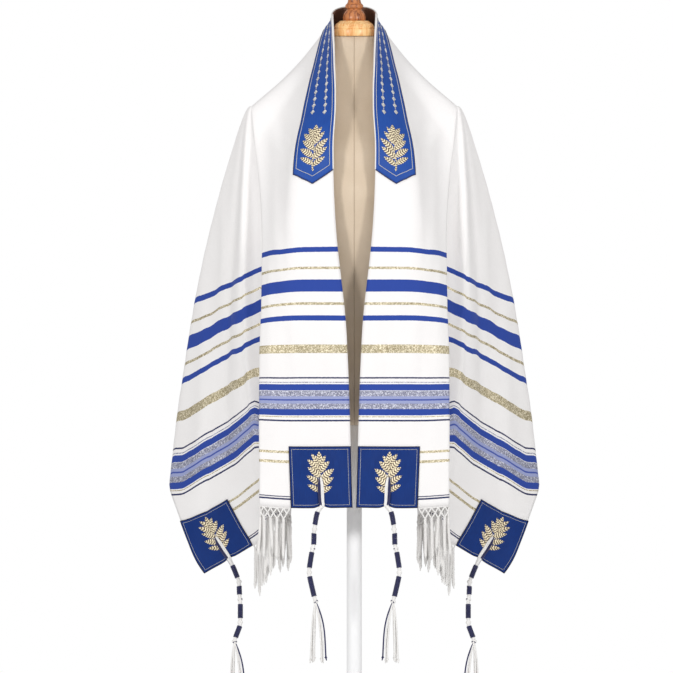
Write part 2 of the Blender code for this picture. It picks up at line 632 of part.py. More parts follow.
def make_fringe(side, hand):
    """A narrow strip under the hem with its twisted locks, between the two patches."""
    places = np.linspace(PATCH + 1.0, WIDTH - PATCH - 1.0, 2 * FRINGE_LOCKS + 1)
    top = hem_line(places) + np.array([0, 0, -STRIP_GAP])
    bottom = top + np.array([0, 0, -STRIP_HEIGHT])
    back = -level_normals(top) * WALL
    mirror = np.array([side, 1, 1]) * MM
    bm = bmesh.new()
    rings = []
    for i in range(len(places)):
        ring = (top[i], top[i] + back[i], bottom[i] + back[i], bottom[i])
        rings.append([bm.verts.new(Vector(point * mirror)) for point in ring])
    underside = []
    for first, second in zip(rings, rings[1:]):
        for k in range(4):
            corners = (first[k], first[(k + 1) % 4], second[(k + 1) % 4], second[k])
            face = bm.faces.new(corners)
            if k == 2:
                underside.append(face)
    bm.faces.new(rings[0][::-1])
    bm.faces.new(rings[-1])
    for i, face in enumerate(underside[::2]):
        uneven = sum(size * math.sin(turn * i + start) for size, turn, start in LOCK_UNEVEN)
        length = LOCK_LENGTH * (1 + uneven)
        for taper in LOCK_TAPER:
            face = bmesh.ops.extrude_discrete_faces(bm, faces=[face])["faces"][0]
            bmesh.ops.translate(bm, verts=face.verts, vec=Vector((0, 0, -length / len(LOCK_TAPER))) * MM)
            centre = face.calc_center_median()
            for vert in face.verts:
                vert.co = centre + (vert.co - centre) * taper
    bmesh.ops.recalc_face_normals(bm, faces=bm.faces)
    name = f"hem_fringe_{hand}"
    new_object(name, finished_mesh(name, bm), "white_cord")


def tube_rings(bm, path, radii, sides):
    """Rings of vertices along a path, in millimetres, turned with it."""
    rings = []
    reference = Vector((1, 0, 0))
    for i, point in enumerate(path):
        ahead = path[min(i + 1, len(path) - 1)]
        behind = path[max(i - 1, 0)]
        direction = (ahead - behind).normalized()
        across = (reference - direction * reference.dot(direction)).normalized()
        up = direction.cross(across)
        ring = []
        for k in range(sides):
            angle = 2 * math.pi * k / sides
            offset = across * math.cos(angle) + up * math.sin(angle)
            ring.append(bm.verts.new((point + offset * radii[i]) * MM))
        rings.append(ring)
    for first, second in zip(rings, rings[1:]):
        for k in range(sides):
            bm.faces.new((first[k], first[(k + 1) % sides], second[(k + 1) % sides], second[k]))
    return rings


def make_tassel(name, places, shares, turns, side):
    """A knotted tassel: it lies on its patch from the eyelet down, then hangs and ends in strands."""
    lift = LOOSE_GAP + TRIM_WALL + CORD_GAP + turns[0].radius
    path = [Vector(point) for point in lifted(places, shares, lift)]
    radii = [EYELET_RADIUS] + [turns[0].radius] * (len(path) - 1)
    depth = path[-1].y
    for i, turn in enumerate(turns):
        path.append(Vector((turn.across, depth + TASSEL_LEAN * min(i, 3) / 3, turn.height)))
        radii.append(turn.radius)
    path = [Vector((point.x * side, point.y, point.z)) for point in path]
    bm = bmesh.new()
    rings = tube_rings(bm, path, radii, TASSEL_SIDES)
    bm.faces.new(rings[0][::-1])
    end = bm.faces.new(rings[-1])
    wedges = bmesh.ops.poke(bm, faces=[end])["faces"]
    bmesh.ops.inset_individual(bm, faces=wedges, thickness=STRAND_INSET * MM)
    foot = path[-1]
    for i, face in enumerate(wedges):
        centre = face.calc_center_median() / MM - foot
        spread = Vector((centre.x * STRAND_SPREAD / turns[-1].radius, centre.y, 0))
        length = STRAND_LENGTH * (1 + STRAND_UNEVEN * math.sin(STRAND_TURN * i))
        for step in range(STRAND_STEPS):
            face = bmesh.ops.extrude_discrete_faces(bm, faces=[face])["faces"][0]
            ease = STRAND_EASE[step]
            shift = Vector((spread.x * ease, spread.y * ease, -length / STRAND_STEPS))
            bmesh.ops.translate(bm, verts=face.verts, vec=shift * MM)
    bmesh.ops.recalc_face_normals(bm, faces=bm.faces)
    new_object(name, finished_mesh(name, bm), "tassel_cord")


def make_tassels():
    down = np.array([0.5, 0.75, 1.0]) * PATCH
    inner_places = np.full(3, PATCH / 2)
    inner_shares = PATCH_TOP + (1 - PATCH_TOP) * down / PATCH
    outer_places, outer_shares = side_panel_at(HALF_LENGTH - PATCH + down, np.full(3, WIDTH - PATCH / 2))
    for side, hand in ((-1, "right"), (1, "left")):
        make_tassel(f"inner_tassel_{hand}", inner_places, inner_shares, INNER_TASSEL, side)
        make_tassel(f"outer_tassel_{hand}", outer_places, outer_shares, OUTER_TASSEL, side)


# Dress form and stand

def torso_ring(section):
    """One level section of the torso, deeper in front or behind as the table says."""
    ring = []
    for k in range(TORSO_SIDES):
        angle = 2 * math.pi * k / TORSO_SIDES
        c, s = math.cos(angle), math.sin(angle)
        depth = section.back if s > 0 else section.front
        reach = (abs(c) ** TORSO_POWER + abs(s) ** TORSO_POWER) ** (-1 / TORSO_POWER)
        shift = FORM_AXIS * (section.height - TORSO[0].height) / (TORSO[-1].height - TORSO[0].height)
        ring.append(Vector((section.half_width * c * reach, depth * s * reach + shift, section.height)) * MM)
    return ring


def make_torso():
    bm = bmesh.new()
    rings = [[bm.verts.new(point) for point in torso_ring(section)] for section in TORSO]
    for first, second in zip(rings, rings[1:]):
        for k in range(TORSO_SIDES):
            bm.faces.new((first[k], first[(k + 1) % TORSO_SIDES], second[(k + 1) % TORSO_SIDES], second[k]))
    bm.faces.new(rings[0][::-1])
    bm.faces.new(rings[-1])
    torso = new_object("torso_form", finished_mesh("torso_form", bm), "linen")
    shade(torso.data)


def make_turned(name, profile, sides, finish, depth):
    """A turned piece from its profile of radius and height, closed at both ends."""
    bm = bmesh.new()
    rings = []
    for radius, height in profile:
        ring = []
        for k in range(sides):
            angle = 2 * math.pi * k / sides
            ring.append(bm.verts.new(Vector((radius * math.cos(angle), depth + radius * math.sin(angle), height)) * MM))
        rings.append(ring)
    for first, second in zip(rings, rings[1:]):
        for k in range(sides):
            bm.faces.new((first[k], first[(k + 1) % sides], second[(k + 1) % sides], second[k]))
    bm.faces.new(rings[0][::-1])
    bm.faces.new(rings[-1])
    piece = new_object(name, finished_mesh(name, bm), finish)
    shade(piece.data)


def make_form():
    make_torso()
    make_turned("neck_cap", CAP_PROFILE, TURNED_SIDES, "light_wood", FORM_AXIS)
    make_turned("finial", FINIAL_PROFILE, TURNED_SIDES, "brown_wood", FORM_AXIS)
    pole = ((POLE_RADIUS, BASE_THICKNESS + STAND_GAP), (POLE_RADIUS, TORSO[0].height - STAND_GAP))
    make_turned("stand_pole", pole, POLE_SIDES, "white_paint", 0)
    base = (
        (BASE_RADIUS, 0),
        (BASE_RADIUS, BASE_THICKNESS - BASE_EDGE),
        (BASE_RADIUS - BASE_EDGE, BASE_THICKNESS),
    )
    make_turned("base_plate", base, BASE_SIDES, "white_paint", 0)


def main():
    for obj in list(bpy.data.objects):
        bpy.data.objects.remove(obj, do_unlink=True)
    make_shawl()
    make_neckband()
    make_patches()
    make_fringe(-1, "right")
    make_fringe(1, "left")
    make_tassels()
    make_form()


main()
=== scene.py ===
# The looks of a tallit prayer shawl worn on a limbless dress form. Lengths are in millimetres, the scene is in metres.
import bpy
import bmesh
import math
import numpy as np
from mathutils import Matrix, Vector


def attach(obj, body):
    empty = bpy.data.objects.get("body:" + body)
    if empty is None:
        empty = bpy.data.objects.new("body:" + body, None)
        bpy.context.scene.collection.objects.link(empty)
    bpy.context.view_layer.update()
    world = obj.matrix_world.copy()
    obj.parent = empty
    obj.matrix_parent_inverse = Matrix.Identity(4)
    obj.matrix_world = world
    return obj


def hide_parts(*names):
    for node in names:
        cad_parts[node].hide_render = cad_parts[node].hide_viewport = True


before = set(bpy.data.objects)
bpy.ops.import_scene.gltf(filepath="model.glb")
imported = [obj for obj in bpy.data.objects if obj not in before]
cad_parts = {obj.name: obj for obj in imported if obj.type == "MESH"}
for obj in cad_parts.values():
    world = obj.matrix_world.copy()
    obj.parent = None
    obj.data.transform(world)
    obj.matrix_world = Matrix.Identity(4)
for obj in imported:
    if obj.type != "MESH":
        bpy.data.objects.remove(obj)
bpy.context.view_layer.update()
mm = 0.001

# Camera first: the photograph is taken from straight in front, its middle a little beside the form's
photo = {"pixels": 673, "mmPerPixel": 1.65, "middlePixel": 354.3, "lowestZ": 347.0, "highestZ": 1458.0,
         "distance": 40000.0, "frontDepth": -118.0, "sensor": 36.0}
frameSpan = photo["pixels"] * photo["mmPerPixel"]
cameraData = bpy.data.cameras.new("photoCamera")
cameraData.sensor_width = photo["sensor"]
cameraData.lens = photo["sensor"] * photo["distance"] / frameSpan
cameraData.shift_x = (photo["pixels"] / 2 - photo["middlePixel"]) / photo["pixels"]
cameraData.clip_end = 100
camera = bpy.data.objects.new("photoCamera", cameraData)
camera.location = (0, (photo["frontDepth"] - photo["distance"]) * mm, (photo["lowestZ"] + photo["highestZ"]) / 2 * mm)
camera.rotation_euler = (math.pi / 2, 0, 0)
bpy.context.collection.objects.link(camera)
bpy.context.scene.camera = camera
print("camera placed")


# The cut of the shawl and where its shoulder line lies, laid flat: u runs from the centre back to the
# hem, v from the neck edge to the outer edge
shawl = {"halfLength": 915.0, "width": 560.0, "wall": 1.3, "neckLength": 80.0, "bandLength": 84.0,
         "bandWidth": 66.0, "tipLength": 255.0, "tipWidth": 145.0, "pleatAtHem": 157.0, "patch": 101.6}
collarEdge = {"across": 36.0, "sideDepth": 5.0, "backDepth": 60.0, "sideHeight": 1436.0, "rise": 13.5}
collarFoot = {"across": 47.5, "sideDepth": 50.0, "backDepth": 78.0, "sideHeight": 1411.6, "rise": -25.6}

# Each front line: share of the way from shoulder to hem, then across, depth and height
frontLines = {
    "edge": {"v": 0.0, "soft": 0.0, "start": (0, -900, -220), "track": (
        (0.00, 36, 5, 1436), (0.10, 33, -50, 1368), (0.20, 31, -88, 1288), (0.30, 35, -112, 1208),
        (0.45, 30, -118, 1079), (0.65, 13, -118, 912), (1.00, 3, -118, 620))},
    "band": {"v": 66.0, "soft": 0.5, "start": (150, -500, 0), "track": (
        (0.00, 47.5, 50, 1411.6), (0.10, 69, -6, 1340), (0.20, 85, -55, 1268), (0.30, 98.5, -97, 1197),
        (0.45, 101, -120, 1076), (0.65, 88, -123, 911), (1.00, 74.5, -123, 619))},
    "middle": {"v": 105.0, "soft": 0.5, "start": (120, -700, 0), "track": (
        (0.00, 100, 46, 1347), (0.10, 112, -4, 1286), (0.20, 120, -48, 1216), (0.30, 125, -80, 1143),
        (0.45, 127, -105, 1028), (0.65, 122, -116, 881), (1.00, 117, -121, 620))},
    "pleat": {"v": 145.0, "soft": 0.2, "start": (-60, -600, 0), "track": (
        (0.00, 170, 20, 1284), (0.10, 161, -18, 1214), (0.20, 155, -46, 1144), (0.30, 152.5, -66, 1074),
        (0.45, 153.5, -86, 974), (0.65, 157, -100, 850), (1.00, 157, -112, 623))},
}

# The folds that hang from the shoulder tip: where each ends on the flat cut, where that end hangs, and how
tipFolds = [dict(zip(("u", "v", "bow", "end", "belly", "flare", "lead", "soft"), row)) for row in (
    (915, 258, 0, (106, -36, 606), (-29, -68), 1.2, 0.10, 0.30),      # root of the front pleat
    (915, 350, 0, (143, -66, 590), (4, -12), 0.65, 0.17, 0.30),       # ridge behind it
    (915, 425, 0, (150, -30, 570), (30, -39), 0.65, 0.16, 0.45),      # trough of the side panel
    (915, 510.8, 2, (207, 9, 533), (12, -22), 0.65, 0.16, 0.50),
    (915, 560, 3, (248, 22, 510), (6, -14), 0.65, 0.15, 0.50),        # outer corner
    (813.4, 560, 6, (288, 52, 597), (0, -4), 0.65, 0.12, 0.50),
    (728, 560, 10, (303, 85, 677), (11, 6), 0.74, 0.06, 0.50),         # widest point of the side
    (603, 560, 6, (236, 62, 748), (0, 4), 0.85, 0.03, 0.45),
    (514, 560, 4, (262, 120, 814), (0, 4), 0.85, 0.03, 0.45),
    (431, 560, 2, (205, 80, 838), (0, 4), 0.80, 0.03, 0.45),
    (358.5, 560, 1, (212, 142, 876), (0, 2), 0.70, 0.03, 0.45),
    (298.6, 560, 0, (168, 100, 874), (0, 4), 0.70, 0.03, 0.45),
    (255, 560, 0, (158, 138, 886), (0, 2), 0.65, 0.03, 0.45),
)]
backFolds = [dict(zip(("u", "end", "top", "flare", "soft"), row)) for row in (
    (212, (134, 106, 888), (136, 34, 1314), 0.65, 0.45),
    (168.4, (110, 140, 890), (100, 46, 1347), 0.60, 0.45),
    (125, (82, 110, 895), (66, 50, 1380), 0.60, 0.45),
    (80, (52, 138, 899), (47.5, 50, 1411.6), 0.60, 0.45),
    (40, (25, 113, 903), (33.6, 69.8, 1398.8), 0.60, 0.45),
    (0, (0, 124, 905), (0, 78, 1386), 0.60, 0.45),
)]
tipFan = {"fade": 7, "start": -96.0, "end": 96.0, "front": 132.0, "side": 112.0, "back": 118.0, "flare": 0.65}
bandEnd = {"side": 0.335, "tip": 0.364}       # where the neckband ends, as shares of the front panel

tip = np.array([170.0, 20.0, 1284.0])
frontReach = shawl["halfLength"] - shawl["tipLength"]
backReach = shawl["width"] - shawl["tipWidth"]
cornerPlace = shawl["width"]                  # places run round the cloth's edge from the front corner
tipPlace = cornerPlace + frontReach
backPlace = cornerPlace + shawl["halfLength"]
hemScale = shawl["pleatAtHem"] / shawl["tipWidth"]


def placeOf(fold):
    return fold["v"] if fold["u"] == shawl["halfLength"] else backPlace - fold["u"]


def reachOf(place):
    hemPart = np.hypot(frontReach, place - shawl["tipWidth"])
    edgePart = np.hypot(backReach, np.maximum(tipPlace - place, 0))
    reach = np.where(place <= shawl["pleatAtHem"], frontReach, np.where(place <= cornerPlace, hemPart, edgePart))
    return np.where(place >= tipPlace, backReach, reach)


def smoothTrack(track, start, wanted):
    track = np.array(track, float)
    shares, values = track[:, 0], track[:, 1:]
    slopes = np.empty_like(values)
    slopes[0] = start
    slopes[1:-1] = (values[2:] - values[:-2]) / (shares[2:] - shares[:-2])[:, None]
    slopes[-1] = (values[-1] - values[-2]) / (shares[-1] - shares[-2])
    inside = np.minimum(wanted, 1.0)
    span = np.clip(np.searchsorted(shares, inside, side="right") - 1, 0, len(shares) - 2)
    gap = (shares[span + 1] - shares[span])[..., None]
    t = (inside - shares[span])[..., None] / gap
    near = (1 + 2 * t) * (1 - t) ** 2 * values[span] + t * (1 - t) ** 2 * gap * slopes[span]
    far = t ** 2 * (3 - 2 * t) * values[span + 1] + t ** 2 * (t - 1) * gap * slopes[span + 1]
    return near + far + (wanted - inside)[..., None] * slopes[-1]


def hangingTrack(top, end, belly, flare, lead, share):
    swing = share ** flare
    sag = 4 * share * (1 - np.minimum(share, 1.0))
    fall = (share + lead * share * (1 - share)) * share * 1.02 / (share + 0.02)      # rolls over the shoulder
    return np.stack([top[0] + (end[0] - top[0]) * swing + belly[0] * sag,
                     top[1] + (end[1] - top[1]) * swing + belly[1] * sag,
                     top[2] + (end[2] - top[2]) * fall], axis=-1)


def plainFan(place, height, share):
    turn = math.radians(np.interp(place, (shawl["pleatAtHem"], tipPlace), (tipFan["start"], tipFan["end"])))
    depth = tipFan["front"] if turn < 0 else tipFan["back"]
    end = (tip[0] + tipFan["side"] * math.cos(turn), tip[1] + depth * math.sin(turn), height)
    return hangingTrack(tip, end, (0, 0), tipFan["flare"], 0.1, share)


def lineTracks(distance):
    places, softs, tracks = [], [], []
    for line in frontLines.values():
        places.append(line["v"] * hemScale)
        softs.append(line["soft"])
        tracks.append(smoothTrack(line["track"], line["start"], distance / frontReach))
    for fold in tipFolds:
        place = placeOf(fold)
        share = distance / reachOf(place)
        folded = hangingTrack(tip, fold["end"], fold["belly"], fold["flare"], fold["lead"], share)
        fan = (np.maximum(1 - share, 0) ** tipFan["fade"])[..., None]
        places.append(place)
        softs.append(fold["soft"])
        tracks.append(folded * (1 - fan) + plainFan(place, fold["end"][2], share) * fan)
    for fold in backFolds:
        places.append(backPlace - fold["u"])
        softs.append(fold["soft"])
        tracks.append(hangingTrack(fold["top"], fold["end"], (0, 0), fold["flare"], 0.0, distance / backReach))
    places.append(2 * backPlace - places[-2])       # the other half's first line keeps the centre back smooth
    softs.append(0.0)
    tracks.append(tracks[-2] * np.array([-1, 1, 1]))
    return np.array(places), np.array(softs), np.stack(tracks, axis=-2)


def turnShare(before, after, offset):
    if abs(after - before) < 1e-6:
        return offset / (2 * before)
    return (math.sqrt(max(before ** 2 + (after - before) * offset, 0)) - before) / (after - before)


def lineWeights(places, softs, wanted):
    count = len(places)
    gaps = np.diff(places)
    through = np.eye(count)
    for j in range(1, count - 1):
        if softs[j] > 0:
            t = turnShare(softs[j] * gaps[j - 1], softs[j] * gaps[j], softs[j] * gaps[j - 1])
            before, after = (1 - t) ** 2 * softs[j], t ** 2 * softs[j]
            through[j, j - 1:j + 2] = before, 1 - before - after, after
    controls = np.linalg.inv(through)
    weights = np.zeros((len(wanted), count))
    for i, place in enumerate(wanted):
        j = int(np.clip(np.searchsorted(places, place, side="right") - 1, 0, count - 2))
        along = (place - places[j]) / gaps[j]
        turn = j if along < softs[j] else j + 1 if along > 1 - softs[j + 1] else None
        if turn is None or turn in (0, count - 1):
            weights[i] = (1 - along) * controls[j] + along * controls[j + 1]
            continue
        before = softs[turn] * gaps[turn - 1]
        t = turnShare(before, softs[turn] * gaps[turn], place - (places[turn] - before))
        enter = controls[turn] + (controls[turn - 1] - controls[turn]) * softs[turn]
        leave = controls[turn] + (controls[turn + 1] - controls[turn]) * softs[turn]
        weights[i] = (1 - t) ** 2 * enter + 2 * t * (1 - t) * controls[turn] + t ** 2 * leave
    return weights


def rawDrape(place, share):
    places, softs, tracks = lineTracks(share * reachOf(place))
    single, back = np.unique(place, return_inverse=True)
    return np.einsum("ij,ijk->ik", lineWeights(places, softs, single)[back], tracks)


def collarCurve(curve, u):
    turn = u / shawl["neckLength"] * math.pi / 2
    back = np.cos(turn)
    rise = back if curve["rise"] > 0 else back ** 2
    return np.stack([curve["across"] * np.sin(turn),
                     curve["sideDepth"] + (curve["backDepth"] - curve["sideDepth"]) * back,
                     curve["sideHeight"] + curve["rise"] * rise], axis=-1)


def collarPoint(u, v):
    rise = (v / shawl["bandWidth"])[:, None]
    full = np.full(len(u), shawl["neckLength"])
    sheet = collarCurve(collarEdge, u) * (1 - rise) + collarCurve(collarFoot, u) * rise
    side = collarCurve(collarEdge, full) * (1 - rise) + collarCurve(collarFoot, full) * rise
    frontTop = rawDrape(v * hemScale, np.zeros(len(v)))
    return sheet + (frontTop - side) * ((u / shawl["neckLength"]) ** 2)[:, None]


def shoulderLength(v):                           # u at which the shoulder line has this v
    return np.interp(v, (0, shawl["bandWidth"], shawl["tipWidth"]),
                     (shawl["neckLength"], shawl["bandLength"], shawl["tipLength"]))


def shoulderPlace(u):
    return np.interp(u, (shawl["bandLength"], shawl["tipLength"]), (shawl["bandWidth"], shawl["tipWidth"])) * hemScale


def topOf(place):
    u = backPlace - place
    over = np.where(place > tipPlace, shoulderPlace(u), np.minimum(place, shawl["pleatAtHem"]))
    top = rawDrape(over, np.zeros(len(over)))
    top[over >= shawl["pleatAtHem"] - 1e-6] = tip
    foot = (place > tipPlace) & (u < shawl["neckLength"])
    top[foot] = collarPoint(u[foot], np.full(foot.sum(), shawl["bandWidth"]))
    return top


# Soft creases laid on the flat cut: from and to in u and v, how wide and how high, a trough if negative
creases = [dict(zip(("start", "end", "width", "height"), row)) for row in (
    ((268, 143), (345, 96), 15, 4.2),        # ridge that runs down from the shoulder tip over the front
    ((262, 128), (322, 84), 12, -3.0),
    ((300, 118), (560, 112), 11, 1.8),       # long soft waves down the front panel
    ((240, 88), (640, 84), 13, -1.6),
    ((430, 128), (800, 131), 9, 1.4),
    ((420, 52), (760, 40), 15, 1.7),
    ((520, 22), (800, 20), 10, -1.3),
    ((560, 98), (870, 104), 12, -1.2),
    ((330, 236), (620, 365), 12, 2.6),       # the side panel fans out from the shoulder tip
    ((400, 262), (760, 455), 14, -2.2),
    ((420, 318), (800, 520), 13, 2.4),
    ((380, 330), (640, 505), 10, -1.8),
    ((470, 215), (840, 300), 11, 1.8),
    ((600, 300), (880, 395), 10, -1.6),
    ((350, 300), (560, 520), 12, 2.4),
    ((330, 330), (480, 530), 10, -1.8),
    ((300, 340), (400, 540), 11, 2.2),
    ((400, 206), (800, 376), 14, -5.0),      # deep trough beside the front pleat, between two ridges
    ((420, 190), (800, 330), 9, 2.2),
    ((430, 246), (800, 425), 12, 2.6),
    ((230, 300), (238, 520), 10, 1.6),       # and the back hangs straight from the collar
    ((148, 240), (150, 500), 12, -1.5),
    ((100, 210), (104, 470), 10, 1.5),
    ((60, 160), (58, 420), 11, 1.4),
    ((20, 190), (22, 500), 10, -1.2),
)]
hemPull = {"depth": 3.2, "width": 8.0, "places": (50.8, 509.2), "from": 0.93}   # the tassels lift the hem
ripples = {"height": 0.25, "along": 23, "across": 31, "sway": 1.7, "between": 19, "fineHeight": 0.15, "fine": 9.1}
creaseForm = {"wander": 0.12, "bends": 7, "ends": 0.3, "narrow": 0.75, "widen": 0.6}
# Where creases begin below the shoulder and at the back, with the share over which they grow
fades = {"shoulder": (0.04, 0.12), "back": (0.3, 0.3), "nearBack": 60.0, "roll": 12}
probe = {"along": 1.2, "down": 0.003}            # steps over which the cloth's outward direction is measured

linePlaces, lineSofts = lineTracks(np.zeros(1))[:2]
tablePlaces = np.linspace(0, shawl["pleatAtHem"], 300)
lineTops = shoulderLength(np.minimum(linePlaces, shawl["pleatAtHem"]) / hemScale)
topTable = lineWeights(linePlaces, lineSofts, tablePlaces) @ lineTops


def frontTop(place):                            # u of the shoulder line above each front place, rounded as the drape is
    return np.interp(place, tablePlaces, topTable)


def flatOf(place, share):                       # u and v of a point of the drape
    topV = place / hemScale
    topU = frontTop(place)
    frontU = topU + share * (shawl["halfLength"] - topU)
    frontV = topV * (1 - share) + place * share
    names = [placeOf(fold) for fold in tipFolds]
    bow = np.interp(place, [shawl["pleatAtHem"]] + names, [0.0] + [fold["bow"] for fold in tipFolds])
    endU = np.where(place <= cornerPlace, shawl["halfLength"], backPlace - place)
    angle = np.arctan2(np.minimum(place, shawl["width"]) - shawl["tipWidth"], endU - shawl["tipLength"])
    angle = angle + np.radians(bow) * (1 - share)
    fanU = shawl["tipLength"] + share * reachOf(place) * np.cos(angle)
    fanV = shawl["tipWidth"] + share * reachOf(place) * np.sin(angle)
    backU = backPlace - place
    backTop = np.interp(backU, (shawl["bandLength"], shawl["tipLength"]), (shawl["bandWidth"], shawl["tipWidth"]))
    backV = backTop + share * (shawl["width"] - backTop)
    onFront, onBack = place <= shawl["pleatAtHem"], place >= tipPlace
    return (np.where(onFront, frontU, np.where(onBack, backU, fanU)),
            np.where(onFront, frontV, np.where(onBack, backV, fanV)))


def sidePanelAt(u, v):                          # found by repeated correction
    place = np.full(len(u), cornerPlace)
    share = np.full(len(u), 0.9)
    names = [placeOf(fold) for fold in tipFolds]
    bows = [fold["bow"] for fold in tipFolds]
    for _ in range(14):
        bow = np.interp(place, [shawl["pleatAtHem"]] + names, [0.0] + bows)
        angle = np.arctan2(v - shawl["tipWidth"], u - shawl["tipLength"]) - np.radians(bow) * (1 - share)
        hem = shawl["tipWidth"] + frontReach * np.tan(angle)
        edge = tipPlace - backReach / np.tan(angle)
        place = np.where((hem <= shawl["width"]) & (angle < 1.5), hem, edge)
        share = np.hypot(u - shawl["tipLength"], v - shawl["tipWidth"]) / reachOf(place)
    return place, share


def creaseHeight(u, v):
    wave = np.sin(u / ripples["along"] + np.sin(v / ripples["across"]) * ripples["sway"])
    total = ripples["height"] * wave * np.sin(v / ripples["between"] + 0.6)
    total = total + ripples["fineHeight"] * np.sin((u + v) / ripples["fine"])
    for crease in creases:
        start, end = np.array(crease["start"], float), np.array(crease["end"], float)
        length = np.linalg.norm(end - start)
        direction = (end - start) / length
        along = ((u - start[0]) * direction[0] + (v - start[1]) * direction[1]) / length
        off = (u - start[0]) * direction[1] - (v - start[1]) * direction[0]
        off = off + creaseForm["wander"] * crease["width"] * np.sin(along * creaseForm["bends"] + start[0])
        fade = np.clip(np.minimum(along, 1 - along) / creaseForm["ends"], 0, 1)
        spread = crease["width"] * (creaseForm["narrow"] + creaseForm["widen"] * np.clip(along, 0, 1))
        total = total + crease["height"] * np.exp(-(off / spread) ** 2) * fade ** 2 * (3 - 2 * fade)
    return total


def plainDrape(place, share):
    raw = rawDrape(place, share)
    off = topOf(place) - rawDrape(place, np.zeros(len(place)))
    points = raw + off * ((1 - share) ** fades["roll"])[:, None]
    points[place >= backPlace, 0] = 0.0
    return points


def clothPoint(place, share):                   # outer face of the cloth, creased, its hem lifted by the tassels
    place, share = np.asarray(place, float), np.asarray(share, float)
    pull = sum(np.exp(-((place - at) / hemPull["width"]) ** 2) for at in hemPull["places"])
    nearHem = np.clip((share - hemPull["from"]) / (1 - hemPull["from"]), 0, 1)
    share = share - pull * hemPull["depth"] / reachOf(place) * nearHem ** 2
    here = plainDrape(place, share)
    after, before = np.minimum(place + probe["along"], backPlace), np.maximum(place - probe["along"], 0)
    along = plainDrape(after, share) - plainDrape(before, share)
    down = plainDrape(place, share + probe["down"]) - plainDrape(place, np.maximum(share - probe["down"], 0))
    normal = np.cross(down, along)
    normal = normal / np.maximum(np.linalg.norm(normal, axis=1, keepdims=True), 1e-9)
    u, v = flatOf(place, share)
    grown = {name: np.clip((share - fades[name][0]) / fades[name][1], 0, 1) for name in ("shoulder", "back")}
    fade = grown["shoulder"] * np.where(place > tipPlace - fades["nearBack"], grown["back"], 1)
    return here + normal * (creaseHeight(u, v) * fade)[:, None]


# Shared shapes and node helpers
def newPiece(name, bm, materials):
    mesh = bpy.data.meshes.new(name)
    bm.to_mesh(mesh)
    bm.free()
    return newObject(name, mesh, materials)


def newObject(name, mesh, materials):
    obj = bpy.data.objects.new(name, mesh)
    bpy.context.collection.objects.link(obj)
    for material in materials:
        mesh.materials.append(material)
    mesh.shade_smooth()
    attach(obj, "root")
    return obj


def gridMesh(name, grids, flats):               # grids of points in mm, each on both sides of the wearer
    verts, faces, uvs = [], [], []
    for points, flat in zip(grids, flats):
        rows = points.shape[1]
        for side in (1, -1):
            first = len(verts)
            verts.extend((points * np.array([side, 1, 1]) * mm).reshape(-1, 3).tolist())
            uvs.extend((flat * np.array([side, 1]) * mm).reshape(-1, 2).tolist())
            for i in range(points.shape[0] - 1):
                for j in range(rows - 1):
                    a = first + i * rows + j
                    corners = (a, a + 1, a + rows + 1, a + rows)
                    faces.append(corners if side > 0 else corners[::-1])
    mesh = bpy.data.meshes.new(name)
    mesh.from_pydata(verts, [], faces)
    layer = mesh.uv_layers.new(name="flat")
    cornerVerts = np.empty(len(mesh.loops), dtype=np.int32)
    mesh.loops.foreach_get("vertex_index", cornerVerts)
    layer.data.foreach_set("uv", np.array(uvs, dtype=np.float32)[cornerVerts].ravel())
    bm = bmesh.new()
    bm.from_mesh(mesh)
    bmesh.ops.remove_doubles(bm, verts=bm.verts, dist=0.02 * mm)
    bmesh.ops.dissolve_degenerate(bm, edges=bm.edges, dist=0.01 * mm)
    bm.to_mesh(mesh)
    bm.free()
    return mesh


def thickened(obj, thickness, offset):
    solid = obj.modifiers.new("wall", "SOLIDIFY")
    solid.thickness = thickness * mm
    solid.offset = offset
    solid.use_even_offset = False
    bpy.context.view_layer.update()
    graph = bpy.context.evaluated_depsgraph_get()
    mesh = bpy.data.meshes.new_from_object(obj.evaluated_get(graph))
    obj.modifiers.clear()
    obj.data = mesh
    mesh.shade_smooth()


class Graph:                                    # short names for building node trees
    def __init__(self, tree):
        self.tree = tree

    def add(self, kind, settings=None, **inputs):
        node = self.tree.nodes.new(kind)
        for key, value in (settings or {}).items():
            setattr(node, key, value)
        for key, value in inputs.items():
            place = int(key[1:]) if key[0] == "i" and key[1:].isdigit() else key.replace("_", " ")
            if isinstance(value, bpy.types.NodeSocket):
                self.link(value, node.inputs[place])
            else:
                node.inputs[place].default_value = value
        return node

    def link(self, source, target):
        self.tree.links.new(source, target)

    def group(self, tree, **inputs):
        return self.add("ShaderNodeGroup", {"node_tree": tree}, **inputs)

    def math(self, operation, first, second=0.0, third=0.0):
        return self.add("ShaderNodeMath", {"operation": operation}, i0=first, i1=second, i2=third).outputs[0]

    def mix(self, share, first, second, blend="MIX"):
        settings = {"data_type": "RGBA", "blend_type": blend}
        return self.add("ShaderNodeMix", settings, i0=share, i6=first, i7=second).outputs[2]


def colour(red, green, blue):                   # display values 0 to 255, made linear
    parts = [value / 255 for value in (red, green, blue)]
    return tuple(p / 12.92 if p <= 0.04045 else ((p + 0.055) / 1.055) ** 2.4 for p in parts) + (1.0,)


def newMaterial(name):
    material = bpy.data.materials.new(name)
    material.use_nodes = True
    graph = Graph(material.node_tree)
    shader = material.node_tree.nodes["Principled BSDF"]
    return material, graph, shader


def newGroup(name, inputs, outputs):
    tree = bpy.data.node_groups.new(name, "ShaderNodeTree")
    for label, kind, value in inputs:
        socket = tree.interface.new_socket(name=label, in_out="INPUT", socket_type=kind)
        socket.default_value = value
    for label, kind in outputs:
        tree.interface.new_socket(name=label, in_out="OUTPUT", socket_type=kind)
    graph = Graph(tree)
    return graph, graph.add("NodeGroupInput"), graph.add("NodeGroupOutput")


